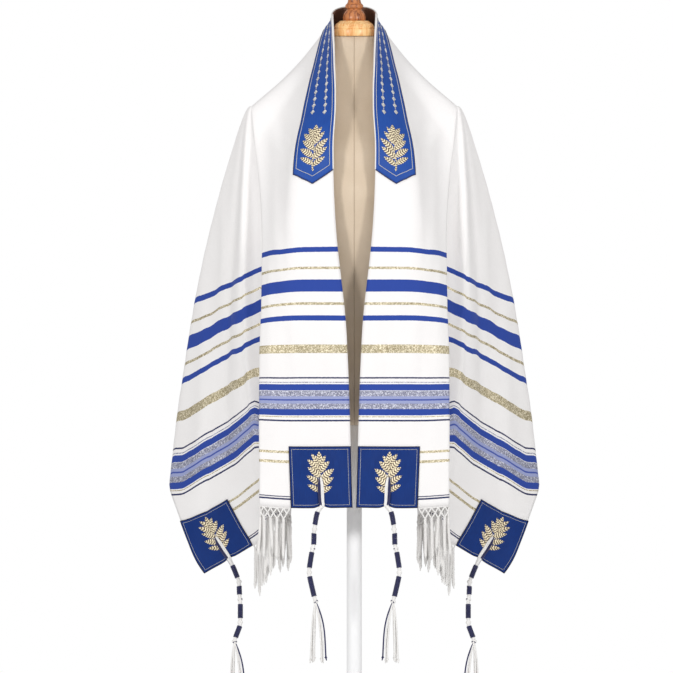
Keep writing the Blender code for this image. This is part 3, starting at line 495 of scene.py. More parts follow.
# Effects that several materials share
def makeWeaveGroup():                           # over and under threads, with a finer slub
    graph, given, result = newGroup("threadWeave", (
        ("Vector", "NodeSocketVector", (0, 0, 0)), ("Thread", "NodeSocketFloat", 0.5 * mm),
        ("Slub", "NodeSocketFloat", 0.35)), (("Height", "NodeSocketFloat"), ("Shade", "NodeSocketFloat")))
    parts = graph.add("ShaderNodeSeparateXYZ", i0=given.outputs["Vector"])
    turn = graph.math("DIVIDE", math.pi, given.outputs["Thread"])
    waves = [graph.math("SINE", graph.math("MULTIPLY", parts.outputs[k], turn)) for k in (0, 1)]
    over = graph.math("MULTIPLY", waves[0], waves[1])
    noise = graph.add("ShaderNodeTexNoise", Vector=given.outputs["Vector"], Scale=420.0, Detail=3.0)
    slub = graph.math("MULTIPLY", graph.math("SUBTRACT", noise.outputs["Fac"], 0.5), given.outputs["Slub"])
    height = graph.math("ADD", graph.math("MULTIPLY", over, 0.5), slub)
    graph.link(height, result.inputs["Height"])
    # painted shade: the colour is darkened a little where the threads dip under
    graph.link(graph.math("MULTIPLY_ADD", height, 0.06, 0.97), result.inputs["Shade"])
    return graph.tree


def makeGlitterGroup():                         # small metallic flecks with a colour of their own
    graph, given, result = newGroup("glitter", (
        ("Vector", "NodeSocketVector", (0, 0, 0)), ("Scale", "NodeSocketFloat", 900.0),
        ("Dark", "NodeSocketColor", (0.2, 0.2, 0.2, 1)), ("Middle", "NodeSocketColor", (0.5, 0.5, 0.5, 1)),
        ("Bright", "NodeSocketColor", (0.9, 0.9, 0.9, 1))),
        (("Color", "NodeSocketColor"), ("Fleck", "NodeSocketFloat")))
    cells = graph.add("ShaderNodeTexVoronoi", Vector=given.outputs["Vector"], Scale=given.outputs["Scale"])
    pick = graph.add("ShaderNodeSeparateColor", i0=cells.outputs["Color"])
    low = graph.add("ShaderNodeMapRange", Value=pick.outputs[0], From_Min=0.0, From_Max=0.55)
    high = graph.add("ShaderNodeMapRange", Value=pick.outputs[0], From_Min=0.6, From_Max=0.95)
    mixed = graph.mix(low.outputs[0], given.outputs["Dark"], given.outputs["Middle"])
    mixed = graph.mix(high.outputs[0], mixed, given.outputs["Bright"])
    graph.link(mixed, result.inputs["Color"])
    graph.link(high.outputs[0], result.inputs["Fleck"])
    return graph.tree


weaveGroup = makeWeaveGroup()
glitterGroup = makeGlitterGroup()


def bumped(graph, shader, height, distance):
    node = graph.add("ShaderNodeBump", Height=height, Distance=distance * mm, Strength=1.0)
    graph.link(node.outputs[0], shader.inputs["Normal"])


# Stripes across the cloth, as distances from the hem in mm
stripes = {
    "blue": {"colour": (22, 62, 156),
             "bands": ((423.4, 431.8), (357.1, 377.4), (308.9, 317.6), (193.7, 204.1), (152.6, 163.0))},
    "thinBlue": {"colour": (62, 82, 164), "bands": ((176.9, 179.5),)},
    "navy": {"colour": (38, 44, 88), "bands": ((213.2, 215.7), (142.6, 145.4), (17.8, 19.5), (13.2, 16.0))},
    "lavender": {"colour": (152, 160, 202), "bands": ((179.5, 184.0), (172.0, 176.9))},
    "silver": {"glitter": ((118, 118, 136), (152, 154, 176), (222, 224, 236)), "metal": 0.35,
               "bands": ((184.0, 193.1), (163.0, 172.0), (206.3, 207.9))},
    "gold": {"glitter": ((150, 136, 104), (196, 184, 152), (250, 240, 214)), "metal": 0.45,
             "bands": ((394.7, 398.8), (335.0, 339.4), (255.3, 269.4), (149.5, 151.0), (90.1, 94.2), (73.8, 78.5))},
}
clothTint = {"white": (246, 244, 243), "shade": (241, 238, 237)}

# How far the woven stripes stray from straight lines on the side panel, in mm along u: rows by their distance from
# the hem, columns by the distance across from the middle
stripeDrift = {"across": (157, 165, 175, 185, 195, 205, 215, 225, 235, 245, 255, 265, 274, 284), "rows": (
    (600, (0, 0, 0, 0, 0, 0, 0, 0, 0, 0, 0, 0, 0, 0)),
    (500, (9, 10, 12, 14, 11, 6, 5, 2, 1, 1, 1, 1, 1, 1)),
    (427.6, (12, 12, 15, 18, 14, 8, 6, 3, 1, 1, 2, 2, 2, 2)),
    (367, (3, 5, 7, 9, 6, -1, -3, -6, -7, -8, -6, -4, -3, -2)),
    (313, (-1, -1, 2, 3, 0, -8, -10, -11, -12, -12, -12, -10, -6, -4)),
    (262, (-1, -3, -1, 0, -2, -8, -10, -10, -11, -11, -10, -9, -6, -3)),
    (199, (0, -7, -6, -5, -5, -7, -9, -9, -9, -9, -8, -7, -6, -2)),
    (158, (1, -3, -3, -3, -3, -6, -7, -7, -7, -8, -7, -6, -4, -1)),
    (85, (1, -1, -2, -2, -2, -3, -3, -3, -3, -3, -3, -3, -2, -1)),
    (20, (0, 0, 0, 0, 0, 0, 0, 0, 0, 0, 0, 0, 0, 0)))}
frontDrift = {"across": (0, 90, 122, 149, 158), "rise": (0, 1.5, 4.0, 2.6, 2.6), "from": (600, 480, 427, 367, 313, 0),
              "share": (0, 0.8, 1.0, 0.5, 0.1, 0)}


def makeClothMaterial():
    material, graph, shader = newMaterial("stripedCloth")
    flat = graph.add("ShaderNodeUVMap", {"uv_map": "flat"}).outputs[0]
    parts = graph.add("ShaderNodeSeparateXYZ", i0=flat)
    weave = graph.group(weaveGroup, Vector=flat, Thread=0.9 * mm, Slub=0.9)
    cloudy = graph.add("ShaderNodeTexNoise", Vector=flat, Scale=9.0, Detail=3.0)
    base = graph.mix(cloudy.outputs["Fac"], colour(*clothTint["white"]), colour(*clothTint["shade"]))
    wobble = graph.add("ShaderNodeTexNoise", Vector=flat, Scale=260.0, Detail=1.0)
    fromHem = graph.math("SUBTRACT", shawl["halfLength"] * mm, graph.math("ABSOLUTE", parts.outputs[0]))
    fromHem = graph.math("MULTIPLY_ADD", graph.math("SUBTRACT", wobble.outputs["Fac"], 0.5), 0.7 * mm, fromHem)
    metal = 0.0
    for kind in stripes.values():
        mask = None
        for low, high in kind["bands"]:
            near = graph.math("COMPARE", fromHem, (low + high) / 2 * mm, (high - low) / 2 * mm)
            mask = near if mask is None else graph.math("MAXIMUM", mask, near)
        if "glitter" in kind:
            dark, middle, bright = (colour(*tone) for tone in kind["glitter"])
            fleck = graph.group(glitterGroup, Vector=flat, Scale=750.0, Dark=dark, Middle=middle, Bright=bright)
            metal = graph.math("MULTIPLY_ADD", mask, kind["metal"], metal)
            base = graph.mix(mask, base, fleck.outputs["Color"])
        else:
            base = graph.mix(mask, base, colour(*kind["colour"]))
    graph.link(graph.mix(1.0, base, weave.outputs["Shade"], "MULTIPLY"), shader.inputs["Base Color"])
    graph.link(metal, shader.inputs["Metallic"])
    graph.link(graph.math("MULTIPLY_ADD", metal, -0.5, 0.72), shader.inputs["Roughness"])
    shader.inputs["Sheen Weight"].default_value = 0.05
    shader.inputs["Sheen Roughness"].default_value = 0.5
    bumped(graph, shader, weave.outputs["Height"], 0.12)
    return material


clothMaterial = makeClothMaterial()


# The shawl: front panels, the fan of folds under each shoulder tip, the back and the collar
def clothColumns():
    shoulder = np.concatenate([np.linspace(shawl["bandLength"], 145, 10), np.linspace(145, shawl["tipLength"], 16)[1:]])
    band = np.linspace(0, shawl["bandWidth"] * hemScale, 15)[:-1]
    folds = [placeOf(fold) for fold in tipFolds]
    fan = []
    for i, (first, last) in enumerate(zip([shawl["pleatAtHem"]] + folds, folds + [tipPlace])):
        count = max(6, int((last - first) / 9)) if i < 3 else max(6, int((last - first) / 11))
        if last - first > 1:
            fan.extend(np.linspace(first, last, count + 1)[:-1])
    fan = [place for place in fan if place > shawl["pleatAtHem"] + 1]
    back = list(backPlace - shoulder[::-1]) + list(backPlace - np.linspace(shawl["neckLength"], 0, 14)[1:])
    return np.concatenate([band, shoulderPlace(shoulder), fan, back])


def driftedFlat(flats, points, places):        # the flat places that the woven pattern follows
    rows = stripeDrift["rows"]
    fromHem = shawl["halfLength"] - flats[..., 0]
    across = points[..., 0]
    table = np.array([np.interp(across, stripeDrift["across"], row[1]) for row in rows])
    heights = np.array([row[0] for row in rows], float)
    drift = np.zeros(fromHem.shape)
    for i in range(len(rows) - 1):
        share = (heights[i] - fromHem) / (heights[i] - heights[i + 1])
        inside = (share >= 0) & (share < 1)
        drift = np.where(inside, table[i] * (1 - share) + table[i + 1] * share, drift)
    onSide = (places > shawl["pleatAtHem"] + 1) & (places < tipPlace)
    front = np.interp(across, frontDrift["across"], frontDrift["rise"])
    front = front * np.interp(-fromHem, [-d for d in frontDrift["from"]], frontDrift["share"])
    drift = np.where(onSide, drift, np.where(places <= shawl["pleatAtHem"] + 1, front, 0))
    moved = flats.copy()
    moved[..., 0] -= drift
    return moved


clothRows = np.linspace(0, 1, 106) ** 1.3


def makeCloth():
    columns = clothColumns()
    places, shares = np.meshgrid(columns, clothRows, indexing="ij")
    points = clothPoint(places.ravel(), shares.ravel()).reshape(places.shape + (3,))
    flats = np.stack(flatOf(places.ravel(), shares.ravel()), axis=-1).reshape(places.shape + (2,))
    flats = driftedFlat(flats, points, places)
    neckU, neckV = np.meshgrid(np.linspace(shawl["neckLength"], 0, 14), np.linspace(0, shawl["bandWidth"], 15),
                               indexing="ij")
    neck = collarPoint(neckU.ravel(), neckV.ravel()).reshape(neckU.shape + (3,))
    mesh = gridMesh("shawlCloth", [points, neck], [flats, np.stack([neckU, neckV], axis=-1)])
    cloth = newObject("shawlCloth", mesh, [clothMaterial])
    thickened(cloth, shawl["wall"], -1.0)
    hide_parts("shawl_cloth")
    return cloth


cloth = makeCloth()
# painted shade: these dark brown tones stand in for the shadow on the collar's inner face behind the neck
collarPaintedShade = {"light": (140, 102, 82), "dark": (94, 62, 48), "u": 78.0, "v": 60.0}


def paintCollarShade():                         # behind the neck the cloth's inner face is painted dark brown, painted shade for the shadow that falls there
    material, graph, shader = newMaterial("collarInsidePaintedShade")
    flat = graph.add("ShaderNodeUVMap", {"uv_map": "flat"}).outputs[0]
    weave = graph.group(weaveGroup, Vector=flat, Thread=0.9 * mm, Slub=0.9)
    share = graph.math("MULTIPLY_ADD", weave.outputs["Height"], 0.5, 0.5)
    tone = graph.mix(share, colour(*collarPaintedShade["dark"]), colour(*collarPaintedShade["light"]))
    graph.link(tone, shader.inputs["Base Color"])
    shader.inputs["Roughness"].default_value = 0.9
    bumped(graph, shader, weave.outputs["Height"], 0.12)
    cloth.data.materials.append(material)
    axis = Vector((0, 0.022, 0))
    layer = cloth.data.uv_layers["flat"].data
    for face in cloth.data.polygons:
        if face.center.z > 1.36:
            u, v = layer[face.loop_start].uv
            inward = (face.center - axis).xy.dot(face.normal.xy) < 0
            if inward and abs(u) < collarPaintedShade["u"] * mm and v < collarPaintedShade["v"] * mm:
                face.material_index = 1


paintCollarShade()
print("cloth", len(cloth.data.polygons))


# The dress form: the same sections as the CAD torso, drawn as one smooth padded form
torso = {"sides": 96, "power": 2.3, "axis": 8.0, "step": 6.0, "sections": (
    (756, 126, 78, 84), (775, 134, 84, 90), (850, 134, 86, 92), (960, 108, 76, 74), (1050, 119, 92, 81),
    (1140, 134, 104, 87), (1210, 130, 90, 86.5), (1258, 117, 62, 82), (1278, 108, 50, 77), (1300, 92, 43, 69),
    (1325, 72, 38, 60), (1352, 50, 33, 52), (1380, 39, 30, 46), (1399, 36, 28, 44)), "hemRadius": 7.0}
linenTint = {"light": (226, 208, 186), "dark": (208, 188, 162), "seam": (192, 172, 148),
             "seamAt": 64.0}                     # a seam down the middle, and one this far to each side of it


def makeLinenMaterial():
    material, graph, shader = newMaterial("formLinen")
    place = graph.add("ShaderNodeTexCoord").outputs["Object"]
    parts = graph.add("ShaderNodeSeparateXYZ", i0=place)
    turn = graph.math("MULTIPLY", graph.math("ARCTAN2", parts.outputs[1], parts.outputs[0]), 0.11)
    flat = graph.add("ShaderNodeCombineXYZ", i0=turn, i1=parts.outputs[2]).outputs[0]
    weave = graph.group(weaveGroup, Vector=flat, Thread=0.75 * mm, Slub=1.3)
    cloudy = graph.add("ShaderNodeTexNoise", Vector=place, Scale=22.0, Detail=5.0)
    base = graph.mix(cloudy.outputs["Fac"], colour(*linenTint["light"]), colour(*linenTint["dark"]))
    across = graph.math("ABSOLUTE", parts.outputs[0])
    beside = graph.math("ABSOLUTE", graph.math("SUBTRACT", across, linenTint["seamAt"] * mm))
    seams = graph.math("MINIMUM", across, beside)
    line = graph.add("ShaderNodeMapRange", Value=seams, From_Min=0.3 * mm, From_Max=1.3 * mm)
    base = graph.mix(line.outputs[0], colour(*linenTint["seam"]), base)
    graph.link(graph.mix(1.0, base, weave.outputs["Shade"], "MULTIPLY"), shader.inputs["Base Color"])
    shader.inputs["Roughness"].default_value = 0.9
    shader.inputs["Sheen Weight"].default_value = 0.15
    height = graph.math("ADD", graph.math("MULTIPLY", weave.outputs["Height"], 0.25), line.outputs[0])
    bumped(graph, shader, height, 0.5)
    return material


def makeTorso():
    table = np.array(torso["sections"], float)
    heights = np.concatenate([np.arange(table[0, 0], table[-1, 0], torso["step"]), [table[-1, 0]]])
    slopes = np.gradient(table[:, 1:], table[:, 0], axis=0)
    span = np.clip(np.searchsorted(table[:, 0], heights, side="right") - 1, 0, len(table) - 2)
    gap = table[span + 1, 0] - table[span, 0]
    t = (heights - table[span, 0]) / gap
    h00, h10 = (1 + 2 * t) * (1 - t) ** 2, t * (1 - t) ** 2
    h01, h11 = t ** 2 * (3 - 2 * t), t ** 2 * (t - 1)
    sizes = (h00[:, None] * table[span, 1:] + (h10 * gap)[:, None] * slopes[span]
             + h01[:, None] * table[span + 1, 1:] + (h11 * gap)[:, None] * slopes[span + 1])
    linear = np.stack([np.interp(heights, table[:, 0], table[:, k]) for k in (1, 2, 3)], axis=-1)
    sizes = np.minimum(sizes, linear + 1.0)      # never more than a little proud of the solid below
    bm = bmesh.new()
    rings = []
    edge = torso["hemRadius"]
    for height, (half, front, back) in zip(heights, sizes):
        low = max(0.0, edge - (height - table[0, 0]))
        tuck = edge - math.sqrt(max(edge ** 2 - low ** 2, 0))
        shift = torso["axis"] * (height - table[0, 0]) / (table[-1, 0] - table[0, 0])
        ring = []
        for k in range(torso["sides"]):
            angle = 2 * math.pi * k / torso["sides"]
            c, s = math.cos(angle), math.sin(angle)
            reach = (abs(c) ** torso["power"] + abs(s) ** torso["power"]) ** (-1 / torso["power"])
            depth = back if s > 0 else front
            across, deep = (half - tuck) * c * reach, (depth - tuck) * s * reach + shift
            ring.append(bm.verts.new((across * mm, deep * mm, height * mm)))
        rings.append(ring)
    bridge(bm, rings)
    form = newPiece("formTorso", bm, [makeLinenMaterial()])
    form.data.set_sharp_from_angle(angle=math.radians(50))
    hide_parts("torso_form")
    return form


def bridge(bm, rings):                          # a closed skin over rings of points, capped at both ends
    for first, second in zip(rings, rings[1:]):
        count = len(first)
        for k in range(count):
            bm.faces.new((first[k], first[(k + 1) % count], second[(k + 1) % count], second[k]))
    bm.faces.new(rings[0][::-1])
    bm.faces.new(rings[-1])


# Turned wood: neck cap and finial, as radius and height; a pair of equal rows is a sharp edge
turned = {
    "neckCap": {
        "node": "neck_cap", "slot": "light_wood", "axis": 8.0, "light": (246, 202, 140), "dark": (226, 160, 92),
        "profile": ((34.0, 1399.5), (34.5, 1400.2), (34.7, 1402), (34.7, 1409.4), (34.2, 1410.9), (33.2, 1411.4),
                    (32.8, 1412.0), (33.3, 1412.8), (33.3, 1414.8), (32.6, 1416.0), (31.8, 1416.6), (31.9, 1417.6),
                    (30.8, 1419.4), (28.6, 1421.2), (26.6, 1422.4), (25.4, 1423.6), (24.0, 1424.8), (23.0, 1425.1))},
    "turnedFinial": {
        "node": "finial", "slot": "brown_wood", "axis": 8.0, "light": (196, 122, 68), "dark": (122, 60, 26),
        "profile": ((17.6, 1425.2), (18.4, 1426.2), (18.8, 1428.4), (18.6, 1431.6), (17.4, 1436.4), (14.8, 1440.4),
                    (12.4, 1443), (12.0, 1444.2), (12.6, 1445.2), (14.4, 1446.4), (15.0, 1448.4), (14.9, 1450.6),
                    (13.6, 1452.4), (12.0, 1453.8), (11.0, 1456), (10.3, 1459), (10.2, 1462), (11.0, 1465.4),
                    (13.0, 1469.6), (16.2, 1474.4), (19.2, 1479.6), (21.2, 1485), (21.7, 1490), (20.9, 1495.6),
                    (19.0, 1501), (15.8, 1506.2), (11.4, 1510.6), (6.6, 1513.4), (2.4, 1514.4))},
}


def makeWoodMaterial(name, light, dark):
    material, graph, shader = newMaterial(name)
    place = graph.add("ShaderNodeTexCoord").outputs["Object"]
    turned = graph.add("ShaderNodeMapping", Vector=place, Rotation=(0.12, 0.08, 0.3), Scale=(60.0, 60.0, 9.0))
    grain = graph.add("ShaderNodeTexNoise", Vector=turned.outputs[0], Scale=1.6, Detail=6.0, Distortion=0.6)
    rings = graph.math("SINE", graph.math("MULTIPLY", grain.outputs["Fac"], 34.0))
    share = graph.math("MULTIPLY_ADD", rings, 0.28, grain.outputs["Fac"])
    pores = graph.add("ShaderNodeTexNoise", Vector=turned.outputs[0], Scale=22.0, Detail=2.0)
    base = graph.mix(graph.add("ShaderNodeMapRange", Value=share, From_Min=0.25, From_Max=0.85).outputs[0],
                     colour(*light), colour(*dark))
    graph.link(base, shader.inputs["Base Color"])
    graph.link(graph.math("MULTIPLY_ADD", pores.outputs["Fac"], 0.2, 0.3), shader.inputs["Roughness"])
    shader.inputs["Coat Weight"].default_value = 0.25
    shader.inputs["Coat Roughness"].default_value = 0.25
    bumped(graph, shader, graph.math("ADD", pores.outputs["Fac"], graph.math("MULTIPLY", rings, 0.3)), 0.12)
    return material


def makeTurned(name, piece):
    bm = bmesh.new()
    sides = 72
    rings = [[bm.verts.new((radius * math.cos(2 * math.pi * k / sides) * mm,
                            (piece["axis"] + radius * math.sin(2 * math.pi * k / sides)) * mm, height * mm))
              for k in range(sides)] for radius, height in piece["profile"]]
    bridge(bm, rings)
    obj = newPiece(name, bm, [piece["material"]])
    obj.data.set_sharp_from_angle(angle=math.radians(38))
    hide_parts(piece["node"])
    return obj


# The stand, which the photograph doesn't show: a painted pole and a round foot
stand = {
    "standPole": {"node": "stand_pole", "slot": "white_paint", "axis": 0.0,
                  "profile": ((12.5, 8.3), (12.5, 30), (12.5, 300), (12.5, 640), (12.5, 755.7))},
    "standFoot": {"node": "base_plate", "slot": "white_paint", "axis": 0.0,
                  "profile": ((179.2, 0), (179.8, 0.6), (180, 1.4), (180, 5.6), (179.5, 7.0), (178.4, 7.8),
                              (177.0, 8.0), (30.0, 8.0))},
}


def makePaintMaterial():
    material, graph, shader = newMaterial("satinPaint")
    place = graph.add("ShaderNodeTexCoord").outputs["Object"]
    peel = graph.add("ShaderNodeTexNoise", Vector=place, Scale=900.0, Detail=1.0)
    cloudy = graph.add("ShaderNodeTexNoise", Vector=place, Scale=6.0, Detail=4.0)
    tone = graph.mix(cloudy.outputs["Fac"], colour(250, 250, 250), colour(244, 244, 245))
    graph.link(tone, shader.inputs["Base Color"])
    graph.link(graph.math("MULTIPLY_ADD", cloudy.outputs["Fac"], 0.2, 0.35), shader.inputs["Roughness"])
    bumped(graph, shader, peel.outputs["Fac"], 0.06)
    return material


makeTorso()
for name, piece in turned.items():
    piece["material"] = makeWoodMaterial(name + "Wood", piece["light"], piece["dark"])
    makeTurned(name, piece)
paint = makePaintMaterial()
for name, piece in stand.items():
    piece["material"] = paint
    makeTurned(name, piece)
print("form and stand")


# Places on the flat cut, brought onto the draped cloth
def frontAt(u, v):
    u, v = np.asarray(u, float), np.asarray(v, float)
    place = v * 1.0
    for _ in range(6):
        topU = frontTop(place)
        share = np.clip((u - topU) / (shawl["halfLength"] - topU), 0, 1.02)
        place = v / ((1 - share) / hemScale + share)
    points = clothPoint(place, share)
    onCollar = u < shawl["neckLength"]
    if onCollar.any():
        points[onCollar] = collarPoint(u[onCollar], v[onCollar])
    return points


def sideAt(u, v):
    return clothPoint(*sidePanelAt(np.asarray(u, float), np.asarray(v, float)))


def layOn(at, u, v, lift):                      # points lifted off the cloth, and the outward directions there
    u, v = np.asarray(u, float), np.asarray(v, float)
    down = at(u + 0.8, v) - at(u - 0.8, v)
    along = at(u, v + 0.8) - at(u, np.maximum(v - 0.8, 0))
    normal = np.cross(down, along)
    normal /= np.maximum(np.linalg.norm(normal, axis=1, keepdims=True), 1e-9)
    return at(u, v) + normal * np.asarray(lift, float).reshape(-1, 1), normal


def flipped(points, side):
    return points * np.array([side, 1, 1])


class Tubes:                                    # many round cords in one mesh
    def __init__(self):
        self.verts, self.faces, self.tints = [], [], []

    def add(self, path, radius, sides=6, tint=0, closed=False):
        path = np.asarray(path, float)
        count = len(path)
        radii = np.broadcast_to(np.asarray(radius, float), (count,))
        if closed:
            tangent = np.roll(path, -1, axis=0) - np.roll(path, 1, axis=0)
        else:
            tangent = np.gradient(path, axis=0)
        tangent /= np.maximum(np.linalg.norm(tangent, axis=1, keepdims=True), 1e-9)
        reference = np.array([0.31, 0.83, 0.46])
        across = reference - tangent * (tangent @ reference)[:, None]
        across /= np.linalg.norm(across, axis=1, keepdims=True)
        up = np.cross(tangent, across)
        first = len(self.verts)
        for k in range(sides):
            angle = 2 * math.pi * k / sides
            self.verts.extend(path + (across * math.cos(angle) + up * math.sin(angle)) * radii[:, None])
        index = lambda i, k: first + (k % sides) * count + i % count
        for i in range(count if closed else count - 1):
            for k in range(sides):
                self.faces.append((index(i, k), index(i, k + 1), index(i + 1, k + 1), index(i + 1, k)))
                self.tints.append(tint)
        if not closed:
            self.faces.append(tuple(index(0, k) for k in range(sides))[::-1])
            self.faces.append(tuple(index(count - 1, k) for k in range(sides)))
            self.tints.extend((tint, tint))

    def finish(self, name, materials, side=1):   # on the other side both the points and the faces are turned over
        mesh = bpy.data.meshes.new(name)
        faces = self.faces if side > 0 else [face[::-1] for face in self.faces]
        mesh.from_pydata((flipped(np.array(self.verts), side) * mm).tolist(), [], faces)
        obj = newObject(name, mesh, materials)
        mesh.polygons.foreach_set("material_index", self.tints)
        return obj


def makeCordMaterial(name, light, dark, roughness=0.75):
    material, graph, shader = newMaterial(name)
    place = graph.add("ShaderNodeTexCoord").outputs["Object"]
    stretched = graph.add("ShaderNodeMapping", Vector=place, Rotation=(0.5, 0.3, 0.0), Scale=(1.0, 1.0, 0.35))
    fibres = graph.add("ShaderNodeTexNoise", Vector=stretched.outputs[0], Scale=1500.0, Detail=2.0)
    cloudy = graph.add("ShaderNodeTexNoise", Vector=place, Scale=60.0, Detail=2.0)
    share = graph.math("MULTIPLY_ADD", fibres.outputs["Fac"], 0.6, graph.math("MULTIPLY", cloudy.outputs["Fac"], 0.5))
    graph.link(graph.mix(share, colour(*light), colour(*dark)), shader.inputs["Base Color"])
    shader.inputs["Roughness"].default_value = roughness
    shader.inputs["Sheen Weight"].default_value = 0.2
    bumped(graph, shader, fibres.outputs["Fac"], 0.25)
    return material


whiteCord = makeCordMaterial("whiteCord", (250, 249, 247), (222, 219, 216))
navyCord = makeCordMaterial("navyCord", (34, 38, 98), (14, 16, 54), 0.6)
silverThread = makeCordMaterial("silverThread", (238, 236, 226), (190, 186, 174), 0.45)


# Blue satin of the neckband and the corner patches, with fine ribs across; the patches have a darker woven edge
satin = {"band": {"light": (40, 88, 172), "dark": (22, 62, 142)},
         "patch": {"light": (12, 58, 134), "dark": (2, 34, 96)}, "edge": (18, 26, 66), "edgeWidth": 1.9}


def makeSatinMaterial(name, tint, border):
    material, graph, shader = newMaterial(name)
    flat = graph.add("ShaderNodeUVMap", {"uv_map": "flat"}).outputs[0]
    parts = graph.add("ShaderNodeSeparateXYZ", i0=flat)
    stretched = graph.add("ShaderNodeMapping", Vector=flat, Scale=(60.0, 900.0, 1.0))
    threads = graph.add("ShaderNodeTexNoise", Vector=stretched.outputs[0], Scale=1.0, Detail=3.0)
    soft = graph.add("ShaderNodeTexNoise", Vector=flat, Scale=34.0, Detail=2.0)
    share = graph.math("MULTIPLY_ADD", threads.outputs["Fac"], 0.7, graph.math("MULTIPLY", soft.outputs["Fac"], 0.4))
    base = graph.mix(share, colour(*tint["light"]), colour(*tint["dark"]))
    if border is not None:                       # lowest and highest u, lowest and highest v, in mm
        near = 1.0
        for k in (0, 1):
            low, high = border[2 * k:2 * k + 2]
            near = graph.math("MINIMUM", near, graph.math("SUBTRACT", parts.outputs[k], low * mm))
            near = graph.math("MINIMUM", near, graph.math("SUBTRACT", high * mm, parts.outputs[k]))
        base = graph.mix(graph.math("LESS_THAN", near, satin["edgeWidth"] * mm), base, colour(*satin["edge"]))
    graph.link(base, shader.inputs["Base Color"])
    shader.inputs["Roughness"].default_value = 0.45
    shader.inputs["Anisotropic"].default_value = 0.5
    shader.inputs["Specular IOR Level"].default_value = 0.22
    bumped(graph, shader, threads.outputs["Fac"], 0.10)
    return material


trim = {"lift": 0.7, "wall": 0.8, "front": 1.5}  # sewn pieces: air under them, thickness, height of their face


def makeNeckband():
    material = makeSatinMaterial("bandSatin", satin["band"], None)
    rows = np.linspace(0, shawl["bandWidth"] * hemScale, 25)
    middle = rows[-1] / 2
    ends = np.interp(rows, (0, middle, middle * 1.5, rows[-1]),
                     (bandEnd["side"], bandEnd["tip"], (bandEnd["tip"] + bandEnd["side"]) / 2 + 0.003, bandEnd["side"]))
    steps = np.linspace(0, 1, 84)
    shares = steps[None, :] ** 1.1 * ends[:, None]
    places = np.broadcast_to(rows[:, None], shares.shape)
    hang = clothPoint(places.ravel(), shares.ravel()).reshape(shares.shape + (3,))
    hangFlat = np.stack(flatOf(places.ravel(), shares.ravel()), axis=-1).reshape(shares.shape + (2,))
    neckV, neckU = np.meshgrid(rows / hemScale, np.linspace(0, shawl["neckLength"], 17), indexing="ij")
    neck = collarPoint(neckU.ravel(), neckV.ravel()).reshape(neckU.shape + (3,))
    points = np.concatenate([neck, hang[:, 1:]], axis=1)
    flat = np.concatenate([np.stack([neckU, neckV], axis=-1), hangFlat[:, 1:]], axis=1)
    normal = np.cross(np.gradient(points, axis=1), np.gradient(points, axis=0))
    normal /= np.linalg.norm(normal, axis=2, keepdims=True)
    normal[:, 0, 0] = 0.0
    raised = points + normal * trim["lift"]
    raised[:, 0, 0] = 0.0
    band = newObject("neckbandSatin", gridMesh("neckbandSatin", [raised], [flat]), [material])
    thickened(band, trim["wall"], 1.0)
    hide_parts("neckband")
    return band, points, normal


band, bandPoints, bandNormals = makeNeckband()
print("neckband", len(band.data.polygons))

patches = {"inner": {"at": frontAt, "corner": (813.4, 0.0), "lift": 0.7},
           "outer": {"at": sideAt, "corner": (813.4, 458.4), "lift": 0.9}}
for kind, patch in patches.items():
    uLow, vLow = patch["corner"]
    border = (uLow, uLow + shawl["patch"], vLow, vLow + shawl["patch"])
    patch["material"] = makeSatinMaterial(f"{kind}Satin", satin["patch"], border)


def makePatch(kind, side, hand):
    patch = patches[kind]
    uLow, vLow = patch["corner"]
    steps = np.linspace(0, shawl["patch"], 45)
    u, v = np.meshgrid(uLow + steps, vLow + steps, indexing="ij")
    points, _ = layOn(patch["at"], u.ravel(), v.ravel(), patch["lift"])
    points = flipped(points, side).reshape(u.shape + (3,)) * mm
    bm = bmesh.new()
    layer = bm.loops.layers.uv.new("flat")
    made = [[bm.verts.new(point) for point in row] for row in points]
    flat = {}
    for i in range(len(steps)):
        for j in range(len(steps)):
            flat[made[i][j]] = (u[i, j] * mm, v[i, j] * mm)
    for i in range(len(steps) - 1):
        for j in range(len(steps) - 1):
            corners = (made[i][j], made[i + 1][j], made[i + 1][j + 1], made[i][j + 1])
            face = bm.faces.new(corners if side > 0 else corners[::-1])
            for loop in face.loops:
                loop[layer].uv = flat[loop.vert]
    obj = newPiece(f"{kind}Patch.{hand}", bm, [patch["material"]])
    thickened(obj, trim["wall"], 1.0)
    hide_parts(f"{kind}_patch_{hand}")
    return obj


sides = ((1, "left"), (-1, "right"))
sewn = [band] + [makePatch(kind, side, hand) for kind in patches for side, hand in sides]
print("patches")


